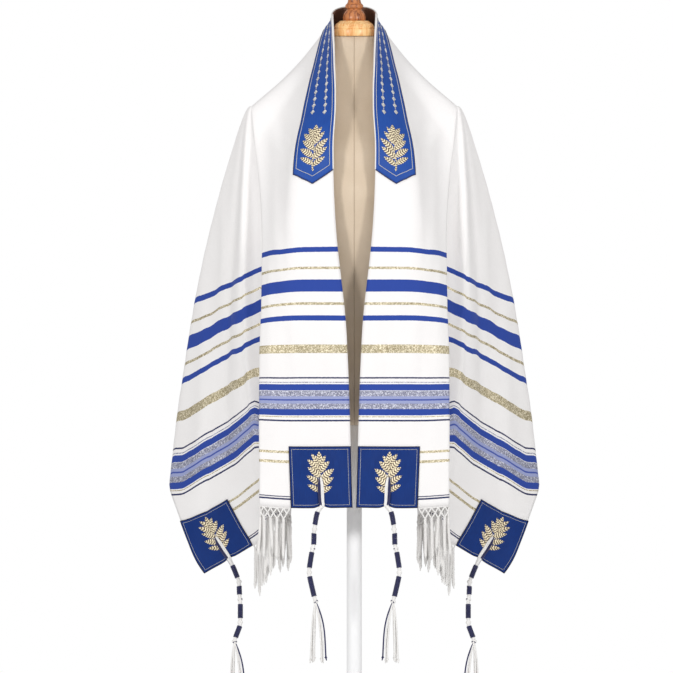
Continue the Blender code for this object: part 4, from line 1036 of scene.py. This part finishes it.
# Geometry Nodes: one small item repeated along every path of a mesh of edges
def repeatTree(name, item):
    tree = bpy.data.node_groups.new(name, "GeometryNodeTree")
    tree.interface.new_socket(name="Geometry", in_out="INPUT", socket_type="NodeSocketGeometry")
    for label, kind, value in (("Spacing", "NodeSocketFloat", 0.002), ("Item Size", "NodeSocketVector", (1, 1, 1)),
                               ("Tilt", "NodeSocketFloat", 0.0), ("Finish", "NodeSocketMaterial", None)):
        socket = tree.interface.new_socket(name=label, in_out="INPUT", socket_type=kind)
        if value is not None:
            socket.default_value = value
    tree.interface.new_socket(name="Geometry", in_out="OUTPUT", socket_type="NodeSocketGeometry")
    graph = Graph(tree)
    given, result = graph.add("NodeGroupInput"), graph.add("NodeGroupOutput")
    curves = graph.add("GeometryNodeMeshToCurve", i0=given.outputs["Geometry"])
    spaced = graph.add("GeometryNodeResampleCurve", {"mode": "LENGTH"}, Curve=curves.outputs[0],
                       Length=given.outputs["Spacing"])
    tangent = graph.add("GeometryNodeInputTangent")
    aligned = graph.add("FunctionNodeAlignRotationToVector", {"axis": "Z"}, Vector=tangent.outputs[0])
    tipped = graph.add("ShaderNodeCombineXYZ", i0=given.outputs["Tilt"])
    turned = graph.add("FunctionNodeRotateRotation", {"rotation_space": "LOCAL"}, i0=aligned.outputs[0],
                       i1=tipped.outputs[0])
    if item == "stitch":
        shape = graph.add("GeometryNodeMeshUVSphere", Segments=6, Rings=4, Radius=0.5).outputs[0]
    else:
        ring = graph.add("GeometryNodeCurvePrimitiveCircle", Resolution=12, Radius=1.0)
        profile = graph.add("GeometryNodeCurvePrimitiveCircle", Resolution=5, Radius=0.30)
        shape = graph.add("GeometryNodeCurveToMesh", i0=ring.outputs[0], i1=profile.outputs[0]).outputs[0]
    placed = graph.add("GeometryNodeInstanceOnPoints", Points=spaced.outputs[0], Instance=shape,
                       Rotation=turned.outputs[0], Scale=given.outputs["Item Size"])
    real = graph.add("GeometryNodeRealizeInstances", i0=placed.outputs[0])
    finish = graph.add("GeometryNodeSetMaterial", Geometry=real.outputs[0], Material=given.outputs["Finish"])
    smooth = graph.add("GeometryNodeSetShadeSmooth", i0=finish.outputs[0])
    graph.link(smooth.outputs[0], result.inputs[0])
    return tree


stitchTree = repeatTree("stitchesAlongPath", "stitch")
wrapTree = repeatTree("wrapsAlongPath", "wrap")


def repeated(name, tree, paths, spacing, size, material, tilt=0.0):
    verts, edges = [], []
    for path in paths:
        edges.extend((len(verts) + i, len(verts) + i + 1) for i in range(len(path) - 1))
        verts.extend((np.asarray(path) * mm).tolist())
    wire = bpy.data.meshes.new(name + "Paths")
    wire.from_pydata(verts, edges, [])
    holder = bpy.data.objects.new(name + "Paths", wire)
    bpy.context.collection.objects.link(holder)
    modifier = holder.modifiers.new("repeat", "NODES")
    modifier.node_group = tree
    values = {"Spacing": spacing * mm, "Item Size": [part * mm for part in size], "Tilt": tilt, "Finish": material}
    for socket in tree.interface.items_tree:
        if socket.in_out == "INPUT" and socket.name in values:
            modifier[socket.identifier] = values[socket.name]
    bpy.context.view_layer.update()
    graph = bpy.context.evaluated_depsgraph_get()
    mesh = bpy.data.meshes.new_from_object(holder.evaluated_get(graph))
    bpy.data.objects.remove(holder, do_unlink=True)
    mesh.materials.clear()
    return newObject(name, mesh, [material])


# White piping along the neck edge, a navy cord along the band's other edges, and a stitched line inside the band's
# edge and inside each patch's
inset = {"line": 5.0, "spacing": 2.3, "stitch": (0.75, 0.75, 2.1), "raise": 0.35, "piping": 1.1, "edging": 0.9}


def bandSheet(lift):                            # the neckband's face as it was built, pushed out by this much
    points = bandPoints + bandNormals * (trim["front"] + lift)
    points[:, 0, 0] = 0.0
    return points


def bandTrack(rows, lift, cut, inner=True):     # path along the band's sides and its pointed end
    sheet = bandSheet(lift)
    low, high = rows
    last = sheet.shape[1] - 1 - cut
    outline = [sheet[low, :last]] if inner else []
    return np.concatenate(outline + [sheet[low:high + 1, last], sheet[high, :last][::-1]])


piping = Tubes()
stitchPaths, satinPaths = [], []
for side, hand in sides:
    piping.add(flipped(bandSheet(-0.5)[0], side), inset["piping"], 8, 0)
    piping.add(flipped(bandTrack((0, 24), -0.4, 0, False), side), inset["edging"], 8, 1)
    satinPaths.append(flipped(bandTrack((2, 22), inset["raise"], 3), side))
    for kind, patch in patches.items():
        uLow, vLow = patch["corner"]
        low, high = inset["line"], shawl["patch"] - inset["line"]
        corners = np.array(((low, low), (low, high), (high, high), (high, low), (low, low)))
        ring = np.concatenate([np.linspace(a, b, 40)[:-1] for a, b in zip(corners, corners[1:])] + [corners[:1]])
        lift = patch["lift"] + trim["wall"] + inset["raise"]
        points, _ = layOn(patch["at"], uLow + ring[:, 0], vLow + ring[:, 1], lift)
        stitchPaths.append(flipped(points, side))
pipingPiece = piping.finish("neckbandPiping", [whiteCord, navyCord])
bandStitches = repeated("neckbandStitches", stitchTree, satinPaths, 1.7, (1.1, 1.1, 1.9), silverThread)
patchStitches = repeated("patchStitches", stitchTree, stitchPaths, inset["spacing"], inset["stitch"], silverThread)
sewn += [pipingPiece, bandStitches, patchStitches]
print("piping and stitches")


# Embroidery: a plain olive sprig in gold satin stitch, and rows of small diamonds along the neckband
sprig = {"vein": 2.6, "stem": ((0, -37), (2.0, -24), (-2.0, -8), (2.4, 8), (-0.5, 21)), "stemGirth": 3.0,
         "leaf": 26.0, "girth": 10.0, "dome": 1.4, "bend": 1.2, "tipLeaf": 20.0, "tipAt": (-0.5, 18),
         "pairs": ((-28, 58, 0.86), (-17, 54, 1.0), (-6, 49, 1.04), (5, 42, 0.98), (14, 31, 0.84))}
diamonds = {"rows": (20.5, 45.0), "from": 92.0, "to": 258.0, "step": 12.6, "long": 9.6, "wide": 8.4, "dome": 0.9,
            "dot": 2.4}


def makeThreadMaterial(name, light, dark, pitch, gap):   # satin stitch in slanting rows, with painted shade darkening the gap between two rows
    material, graph, shader = newMaterial(name)
    flat = graph.add("ShaderNodeUVMap", {"uv_map": "flat"}).outputs[0]
    place = graph.add("ShaderNodeTexCoord").outputs["Object"]
    parts = graph.add("ShaderNodeSeparateXYZ", i0=flat)
    ridge = graph.math("SINE", graph.math("MULTIPLY", parts.outputs[0], 2 * math.pi / (pitch * mm)))
    tone = graph.add("ShaderNodeTexNoise", Vector=place, Scale=420.0, Detail=1.0)
    # painted shade: the dark colour fills the groove between stitch rows
    share = graph.math("MULTIPLY_ADD", ridge, gap, tone.outputs["Fac"])
    base = graph.mix(graph.add("ShaderNodeMapRange", Value=share, From_Min=0.3, From_Max=0.62).outputs[0],
                     colour(*dark), colour(*light))
    graph.link(base, shader.inputs["Base Color"])
    shader.inputs["Roughness"].default_value = 0.4
    shader.inputs["Metallic"].default_value = 0.2
    bumped(graph, shader, ridge, 0.18)
    return material


# the second colour of each is the painted shade in the gaps between stitch rows
embroideryGold = makeThreadMaterial("embroideryGold", (248, 234, 198), (84, 64, 54), 4.2, 0.42)
embroideryPale = makeThreadMaterial("embroideryPale", (252, 250, 244), (196, 192, 186), 0.9, 0.2)


class Embroidery:                               # raised stitched shapes, drawn on the flat cut and laid on the cloth
    def __init__(self):
        self.flat, self.height, self.uv, self.faces = [], [], [], []

    def leaf(self, start, angle, length, girth, dome, bend=0.0, sharp=False):
        steps, across = 11, 5                    # points along and across
        first = len(self.flat)
        forward = np.array((math.cos(angle), math.sin(angle)))
        side = np.array((-forward[1], forward[0]))
        for i in range(steps):
            t = i / (steps - 1)
            swell = 1 - abs(2 * t - 1) if sharp else math.sin(math.pi * t ** 0.85) ** 0.75 if 0 < t < 1 else 0
            width = girth / 2 * max(swell, 0.02)
            for k in range(across):
                a = 2 * k / (across - 1) - 1
                point = np.array(start) + forward * length * t + side * (width * a + bend * math.sin(math.pi * t))
                self.flat.append(point)
                self.height.append(dome * (1 - a * a) * min(1.0, 5 * t, 5 * (1 - t)))
                self.uv.append((length * t - abs(a) * sprig["vein"], width * a))
        for i in range(steps - 1):
            for k in range(across - 1):
                a = first + i * across + k
                self.faces.append((a, a + across, a + across + 1, a + 1))

    def lay(self, name, place, side, material):
        flat = np.array(self.flat)
        points, normal = place(flat[:, 0], flat[:, 1], np.array(self.height))
        points = flipped(points, side) * mm
        mesh = bpy.data.meshes.new(name)
        mesh.from_pydata(points.tolist(), [], [f if side > 0 else f[::-1] for f in self.faces])
        layer = mesh.uv_layers.new(name="flat")
        index = np.empty(len(mesh.loops), dtype=np.int32)
        mesh.loops.foreach_get("vertex_index", index)
        layer.data.foreach_set("uv", (np.array(self.uv) * mm).astype(np.float32)[index].ravel())
        return newObject(name, mesh, [material])


def drawSprig(scale):
    drawn = Embroidery()
    stem = np.array(sprig["stem"], float)
    heights = np.linspace(stem[0, 1], stem[-1, 1], 9)
    xs = np.interp(heights, stem[:, 1], stem[:, 0])
    for i in range(8):
        start = np.array((xs[i], heights[i])) * scale
        end = np.array((xs[i + 1], heights[i + 1])) * scale
        run = end - start
        drawn.leaf(start - run * 0.1, math.atan2(run[1], run[0]), np.linalg.norm(run) * 1.3,
                   sprig["stemGirth"] * scale, 0.9)
    for at, spread, size in sprig["pairs"]:
        for hand in (1, -1):
            start = np.array((np.interp(at, stem[:, 1], stem[:, 0]), at + 1.5 * hand)) * scale
            angle = math.radians(90 - hand * spread)
            drawn.leaf(start, angle, sprig["leaf"] * size * scale, sprig["girth"] * size * scale, sprig["dome"],
                       sprig["bend"] * hand * scale)
    drawn.leaf(np.array(sprig["tipAt"]) * scale, math.radians(88), sprig["tipLeaf"] * scale,
               sprig["girth"] * 0.9 * scale, sprig["dome"])
    return drawn


def onPatch(kind, side):
    patch = patches[kind]
    uLow, vLow = patch["corner"]
    middle = shawl["patch"] / 2

    def place(x, y, height):
        u, v = uLow + middle - 3 - y, vLow + middle + x
        return layOn(patch["at"], u, v, patch["lift"] + trim["wall"] + 0.05 + height)
    return place


bandDesign = {"middle": 33.0, "at": 318.0, "sprig": 1.1, "patchSprig": 1.04}


def onBand(x, y, height):
    return layOn(frontAt, bandDesign["at"] - y, bandDesign["middle"] + x, trim["front"] + 0.1 + height)


for side, hand in sides:
    for kind in patches:
        drawn = drawSprig(bandDesign["patchSprig"])
        sewn.append(drawn.lay(f"{kind}Sprig.{hand}", onPatch(kind, side), side, embroideryGold))
    sewn.append(drawSprig(bandDesign["sprig"]).lay(f"bandSprig.{hand}", onBand, side, embroideryGold))
    small = Embroidery()
    for number, v in enumerate(diamonds["rows"]):
        for u in np.arange(diamonds["from"] + 5.5 * number, diamonds["to"], diamonds["step"]):
            x, y = v - bandDesign["middle"], bandDesign["at"] - u
            small.leaf((x, y - diamonds["long"] / 2), math.pi / 2, diamonds["long"], diamonds["wide"], diamonds["dome"],
                       sharp=True)
            dot = diamonds["dot"]
            small.leaf((x, y + (diamonds["step"] - dot) / 2), math.pi / 2, dot, dot, diamonds["dome"])
    sewn.append(small.lay(f"bandDiamonds.{hand}", onBand, side, embroideryPale))
print("embroidery")


# Corner tassels: a bundle of cords over the patch, wrapped and knotted below it, ending in loose strands.
# Each turn is across and height; the wraps lie between the listed pairs, the knots at the listed turns
tassels = {
    "inner": {"at": frontAt, "u": (864.2, 889.6, 915.0), "v": 50.8, "lift": 0.7, "turns": (
        (60.9, 612), (64.8, 593), (65.5, 585), (66.5, 577), (66.9, 560), (68.5, 553), (70.3, 545), (73.9, 522),
        (74.3, 514), (73.6, 506), (66.5, 475), (64.0, 466))},
    "outer": {"at": sideAt, "u": (864.2, 889.6, 915.0), "v": 509.2, "lift": 0.9, "turns": (
        (201.0, 522), (194.0, 505), (191.0, 497), (190.5, 489), (190.0, 476), (189.0, 468), (188.6, 459), (188.6, 438),
        (188.8, 430), (190.0, 422), (196.0, 406), (198.0, 398))},
}
tasselForm = {"wraps": ((0, 1), (3, 4), (6, 7), (9, 10)), "knots": (2, 5, 8, 11), "centre": 6.9, "lean": 3.0,
              "core": 3.0, "wrap": (3.6, 3.6, 3.6), "spacing": 2.0, "tilt": 0.16, "knot": 3.0, "knotCord": 1.9,
              "strand": 1.3, "long": 97.0, "cord": 1.5, "eyelet": 3.6, "eyeletCord": 0.55, "endKnot": (1.5, 1.0),
              "frayed": (1.2, 1.3, 0.7), "beside": (-3.6, -1.2, 1.2, 3.6),
              "gather": (0.25, 0.75, 1.0, 1.0, 0.95, 0.9, 0.8), "lifts": (-0.7, 1.1, 1.25, 1.25, 1.3, 1.5, 2.2),
              "strands": ((3.0, -2.0, 0.98, 0), (7.6, 0.5, 1.0, 0), (1.2, 1.8, 0.96, 0), (5.2, 2.6, 0.99, 0),
                          (-9.0, -2.2, 0.99, 0), (-12.2, 0.0, 1.0, 0), (-10.4, 2.2, 0.97, 0), (-17.0, 0.6, 0.955, 1))}


def smoothPath(points, step):                   # Catmull-Rom through the points, evenly spaced
    points = np.asarray(points, float)
    padded = np.concatenate([[2 * points[0] - points[1]], points, [2 * points[-1] - points[-2]]])
    out = []
    for i in range(len(points) - 1):
        p0, p1, p2, p3 = padded[i:i + 4]
        t = np.linspace(0, 1, 12, endpoint=False)[:, None]
        out.append(0.5 * (2 * p1 + (p2 - p0) * t + (2 * p0 - 5 * p1 + 4 * p2 - p3) * t ** 2
                          + (3 * p1 - p0 - 3 * p2 + p3) * t ** 3))
    path = np.concatenate(out + [points[-1:]])
    along = np.concatenate([[0], np.cumsum(np.linalg.norm(np.diff(path, axis=0), axis=1))])
    wanted = np.linspace(0, along[-1], max(3, int(along[-1] / step) + 1))
    return np.stack([np.interp(wanted, along, path[:, k]) for k in range(3)], axis=-1)


def frameAt(path, i):                           # directions across and behind a cord at one point of its path
    ahead = path[min(i + 1, len(path) - 1)] - path[max(i - 1, 0)]
    ahead = ahead / np.linalg.norm(ahead)
    across = np.cross(ahead, (0, 1, 0))
    across /= np.linalg.norm(across)
    return ahead, across, np.cross(across, ahead)


def knotCurve(centre, ahead, across, behind, size, turn):
    a = np.linspace(0, 2 * math.pi, 36, endpoint=False)
    x = np.sin(a + turn) + 2 * np.sin(2 * (a + turn))
    y = np.cos(a + turn) - 2 * np.cos(2 * (a + turn))
    z = -np.sin(3 * (a + turn))
    return centre + (np.outer(x, across) + np.outer(y * 0.85, ahead) + np.outer(z * 0.9, behind)) * size / 3


hanging = (np.array((0, 0, -1.0)), np.array((1.0, 0, 0)), np.array((0, 1.0, 0)))     # how a small knot is turned


def makeTassel(kind, side, hand):
    tassel = tassels[kind]
    form = tasselForm
    u = np.array(tassel["u"])
    v = np.full(3, tassel["v"])
    face = tassel["lift"] + trim["wall"]
    on, _ = layOn(tassel["at"], u, v, form["centre"])
    hang = [(x, on[-1][1] + form["lean"] * min(i, 3) / 3, z) for i, (x, z) in enumerate(tassel["turns"])]
    cords, wrapPaths = Tubes(), []
    path = smoothPath(np.concatenate([on[-1:], hang]), 1.5)
    cords.add(path, form["core"], 10, 0)

    # four cords lie side by side over the patch, from the eyelet to the first wraps
    start = on[-1] + (np.array(hang[0]) - on[-1]) * 0.9
    for number, offset in enumerate(form["beside"]):
        places = np.linspace(0, 1, len(form["gather"]))
        spreadV = tassel["v"] + offset * np.array(form["gather"])
        lifts = face + form["cord"] * np.array(form["lifts"]) + (number % 2) * 0.5
        lying, _ = layOn(tassel["at"], u[0] + places * shawl["patch"] / 2, spreadV, lifts)
        across = np.array((offset * 0.5, 0, 0))
        lying = smoothPath(np.concatenate([lying, [start + across]]), 2.0)
        cords.add(lying, form["cord"], 8, 0 if offset < 0 else 1)

    for first, last in form["wraps"]:
        low, high = np.array(hang[first]), np.array(hang[last])
        index = [int(np.argmin(np.linalg.norm(path - end, axis=1))) for end in (low, high)]
        wrapPaths.append(flipped(path[index[0]:index[1] + 1], side))
    for number, turn in enumerate(form["knots"]):
        centre = np.array(hang[turn])
        ahead, across, behind = frameAt(path, int(np.argmin(np.linalg.norm(path - centre, axis=1))))
        large = knotCurve(centre, ahead, across, behind, form["knot"], 0.4 * number)
        small = knotCurve(centre, ahead, -across, behind, form["knot"] * 0.8, 1.0 + number)
        cords.add(large, form["knotCord"], 7, 0, closed=True)
        cords.add(small, form["knotCord"], 7, 1 if number in (1, 3) else 0, closed=True)

    # loose strands below the last knot, in two groups, one of them navy and longer
    foot = np.array(hang[-1])
    for number, (out, depth, size, tint) in enumerate(form["strands"]):
        steps = np.linspace(0, 1, 9)
        length = form["long"] * size
        wave = np.sin(steps * 6 + number * 1.4) * 0.9 * steps
        strand = foot + np.outer(1 - (1 - steps) ** 2.6, (out, depth, 0)) + np.outer(wave, (0.8, 0.3, 0))
        strand = smoothPath(strand - np.outer(steps * length, (0, 0, 1)), 3.0)
        cords.add(strand, form["strand"], 6, tint)
        end = strand[-1]
        knotSize, knotCord = form["endKnot"]
        cords.add(knotCurve(end, *hanging, knotSize, number), knotCord, 5, tint, closed=True)
        frayed = np.array([end, end + (0.4 * out / 10, 0, -3), end + (0.8 * out / 10, 0, -5.5)])
        cords.add(frayed, form["frayed"], 5, tint)

    ringPoint, ringNormal = layOn(tassel["at"], u[:1], v[:1], face + 0.3)
    down = np.cross(ringNormal[0], (1, 0, 0))
    down /= np.linalg.norm(down)
    across = np.cross(down, ringNormal[0])
    a = np.linspace(0, 2 * math.pi, 24, endpoint=False)
    eyelet = ringPoint[0] + (np.outer(np.cos(a), across) + np.outer(np.sin(a), down)) * form["eyelet"]
    cords.add(eyelet, form["eyeletCord"], 6, 0, closed=True)
    piece = cords.finish(f"{kind}Tassel.{hand}", [whiteCord, navyCord], side)
    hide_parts(f"{kind}_tassel_{hand}")
    wraps = repeated(f"{kind}Wraps.{hand}", wrapTree, wrapPaths, form["spacing"], form["wrap"], navyCord, form["tilt"])
    return [piece, wraps]


for kind in tassels:
    for side, hand in sides:
        sewn += makeTassel(kind, side, hand)
print("tassels")


# Hem fringe: a knotted net below the hem, then twisted locks with loose ends
fringe = {"locks": 34, "net": (9.0, 18.0), "cord": 1.3, "lock": 1.35, "plies": 3, "ply": 1.6, "turn": 0.55,
          "long": 80.0, "uneven": ((0.09, 2.4, 0.0), (0.05, 5.1, 1.0)), "sway": 3.2, "wobble": (0.7, 3.7),
          "clear": 1.5, "knot": (1.35, 0.8), "crossKnot": (1.5, 0.85), "together": (0.12, 0.25), "thin": (0.08, 0.45)}


def hemLine(places):
    points = clothPoint(places, np.ones(len(places)))
    along = clothPoint(places + 1, np.ones(len(places))) - clothPoint(places - 1, np.ones(len(places)))
    behind = np.stack([-along[:, 1], along[:, 0], np.zeros(len(places))], axis=-1)
    behind /= np.linalg.norm(behind, axis=1, keepdims=True)
    return points + behind * shawl["wall"] / 2


def netKnot(foot, i):                           # hangs a little to one side of the hem point above it
    wobble = fringe["wobble"][0] * math.sin(fringe["wobble"][1] * i)
    return foot + (wobble, 0.5 * wobble, -fringe["net"][0])


def makeFringe(side, hand):
    cords = Tubes()
    count = fringe["locks"]
    inner, outer = shawl["patch"] + fringe["clear"], shawl["width"] - shawl["patch"] - fringe["clear"]
    edge = hemLine(np.linspace(inner, outer, 2 * count + 1))
    cords.add(edge + (0, 0, -0.6), 1.0, 6)
    pitch = (outer - inner) / count
    for i in range(count):
        foot = edge[2 * i + 1]
        knot = netKnot(foot, i)
        nextFoot = edge[min(2 * i + 3, 2 * count - 1)]
        cross = (foot + nextFoot) / 2 + (0, 0, -fringe["net"][1] + 0.8 * math.sin(2.9 * i))
        for start in (edge[2 * i], edge[2 * i + 2]):
            cords.add(smoothPath([start, (start + knot) / 2 + (0, 0, -1.0), knot], 2.5), fringe["cord"], 5)
        cords.add(knotCurve(knot, *hanging, fringe["knot"][0], i), fringe["knot"][1], 5, closed=True)
        if i < count - 1:
            for start in (knot, netKnot(nextFoot, i + 1)):
                cords.add(smoothPath([start, (start + cross) / 2 + (0, 0, -0.8), cross], 2.5), fringe["cord"], 5)
            knotSize, knotCord = fringe["crossKnot"]
            cords.add(knotCurve(cross, *hanging, knotSize, i + 1), knotCord, 5, closed=True)
            top = cross
        else:
            top = knot
        uneven = sum(size * math.sin(turn * i + start) for size, turn, start in fringe["uneven"])
        bottom = fringe["long"] * (1 + uneven)
        steps = np.linspace(0, 1, 26)
        length = bottom - (foot[2] - top[2])
        lean = np.array((fringe["sway"] * math.sin(1.9 * i + 0.5), fringe["sway"] * 0.5 * math.sin(2.3 * i), 0))
        line = top + np.outer(steps, (0, 0, -length)) + np.outer(steps ** 1.5, lean)
        line += np.outer(np.sin(steps * 5 + i) * 0.7 * steps, (1, 0.4, 0))
        reach = fringe["ply"] * np.clip((1 - steps) / fringe["together"][0], fringe["together"][1], 1)
        thick = fringe["lock"] * np.clip((1 - steps) / fringe["thin"][0], fringe["thin"][1], 1)
        for ply in range(fringe["plies"]):
            turn = fringe["turn"] * steps * length + ply * 2 * math.pi / fringe["plies"]
            offset = np.stack([np.cos(turn), np.sin(turn), np.zeros(len(steps))], axis=-1) * reach[:, None]
            cords.add(line + offset, thick, 5)
    piece = cords.finish(f"hemFringe.{hand}", [whiteCord], side)
    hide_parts(f"hem_fringe_{hand}")
    return piece


sewn += [makeFringe(side, hand) for side, hand in sides]
print("fringe, pieces on the shawl", len(sewn))


# Floor, world and soft studio lights, in metres; the backdrop is white, and lights the shawl less than it shows
studio = {"floor": 3.5, "sky": 0.48, "aim": 0.95}


def makeFloor():
    material, graph, shader = newMaterial("paleFloor")
    place = graph.add("ShaderNodeTexCoord").outputs["Object"]
    cloudy = graph.add("ShaderNodeTexNoise", Vector=place, Scale=3.0, Detail=2.0)
    tone = graph.mix(cloudy.outputs["Fac"], colour(250, 250, 250), colour(244, 244, 244))
    graph.link(tone, shader.inputs["Base Color"])
    shader.inputs["Roughness"].default_value = 0.9
    bm = bmesh.new()
    bmesh.ops.create_circle(bm, cap_ends=True, segments=96, radius=studio["floor"])
    mesh = bpy.data.meshes.new("floor")
    bm.to_mesh(mesh)
    bm.free()
    floor = bpy.data.objects.new("floor", mesh)
    bpy.context.collection.objects.link(floor)
    floor.location.z = -0.001
    mesh.materials.append(material)


lights = {
    "leftKey": {"at": (-3.0, -4.2, 2.3), "size": 0.9, "power": 92},
    "rightKey": {"at": (3.0, -4.2, 2.2), "size": 0.9, "power": 86},
    "topSoft": {"at": (0.0, -1.6, 3.6), "size": 2.0, "power": 12},
}


def makeLights():
    world = bpy.data.worlds.new("white")
    world.use_nodes = True
    background = world.node_tree.nodes["Background"]
    background.inputs[0].default_value = (1, 1, 1, 1)
    path = Graph(world.node_tree).add("ShaderNodeLightPath")
    strength = Graph(world.node_tree).math("MULTIPLY_ADD", path.outputs["Is Camera Ray"], 1 - studio["sky"],
                                           studio["sky"])
    world.node_tree.links.new(strength, background.inputs[1])
    bpy.context.scene.world = world
    bpy.context.scene.view_settings.view_transform = "Standard"      # so that the finishes keep their own colours
    for name, light in lights.items():
        data = bpy.data.lights.new(name, "AREA")
        data.shape = "DISK"
        data.size = light["size"]
        data.energy = light["power"]
        obj = bpy.data.objects.new(name, data)
        obj.location = light["at"]
        aim = Vector((0, 0, studio["aim"])) - Vector(light["at"])
        obj.rotation_euler = aim.to_track_quat("-Z", "Y").to_euler()
        bpy.context.collection.objects.link(obj)


makeFloor()
makeLights()
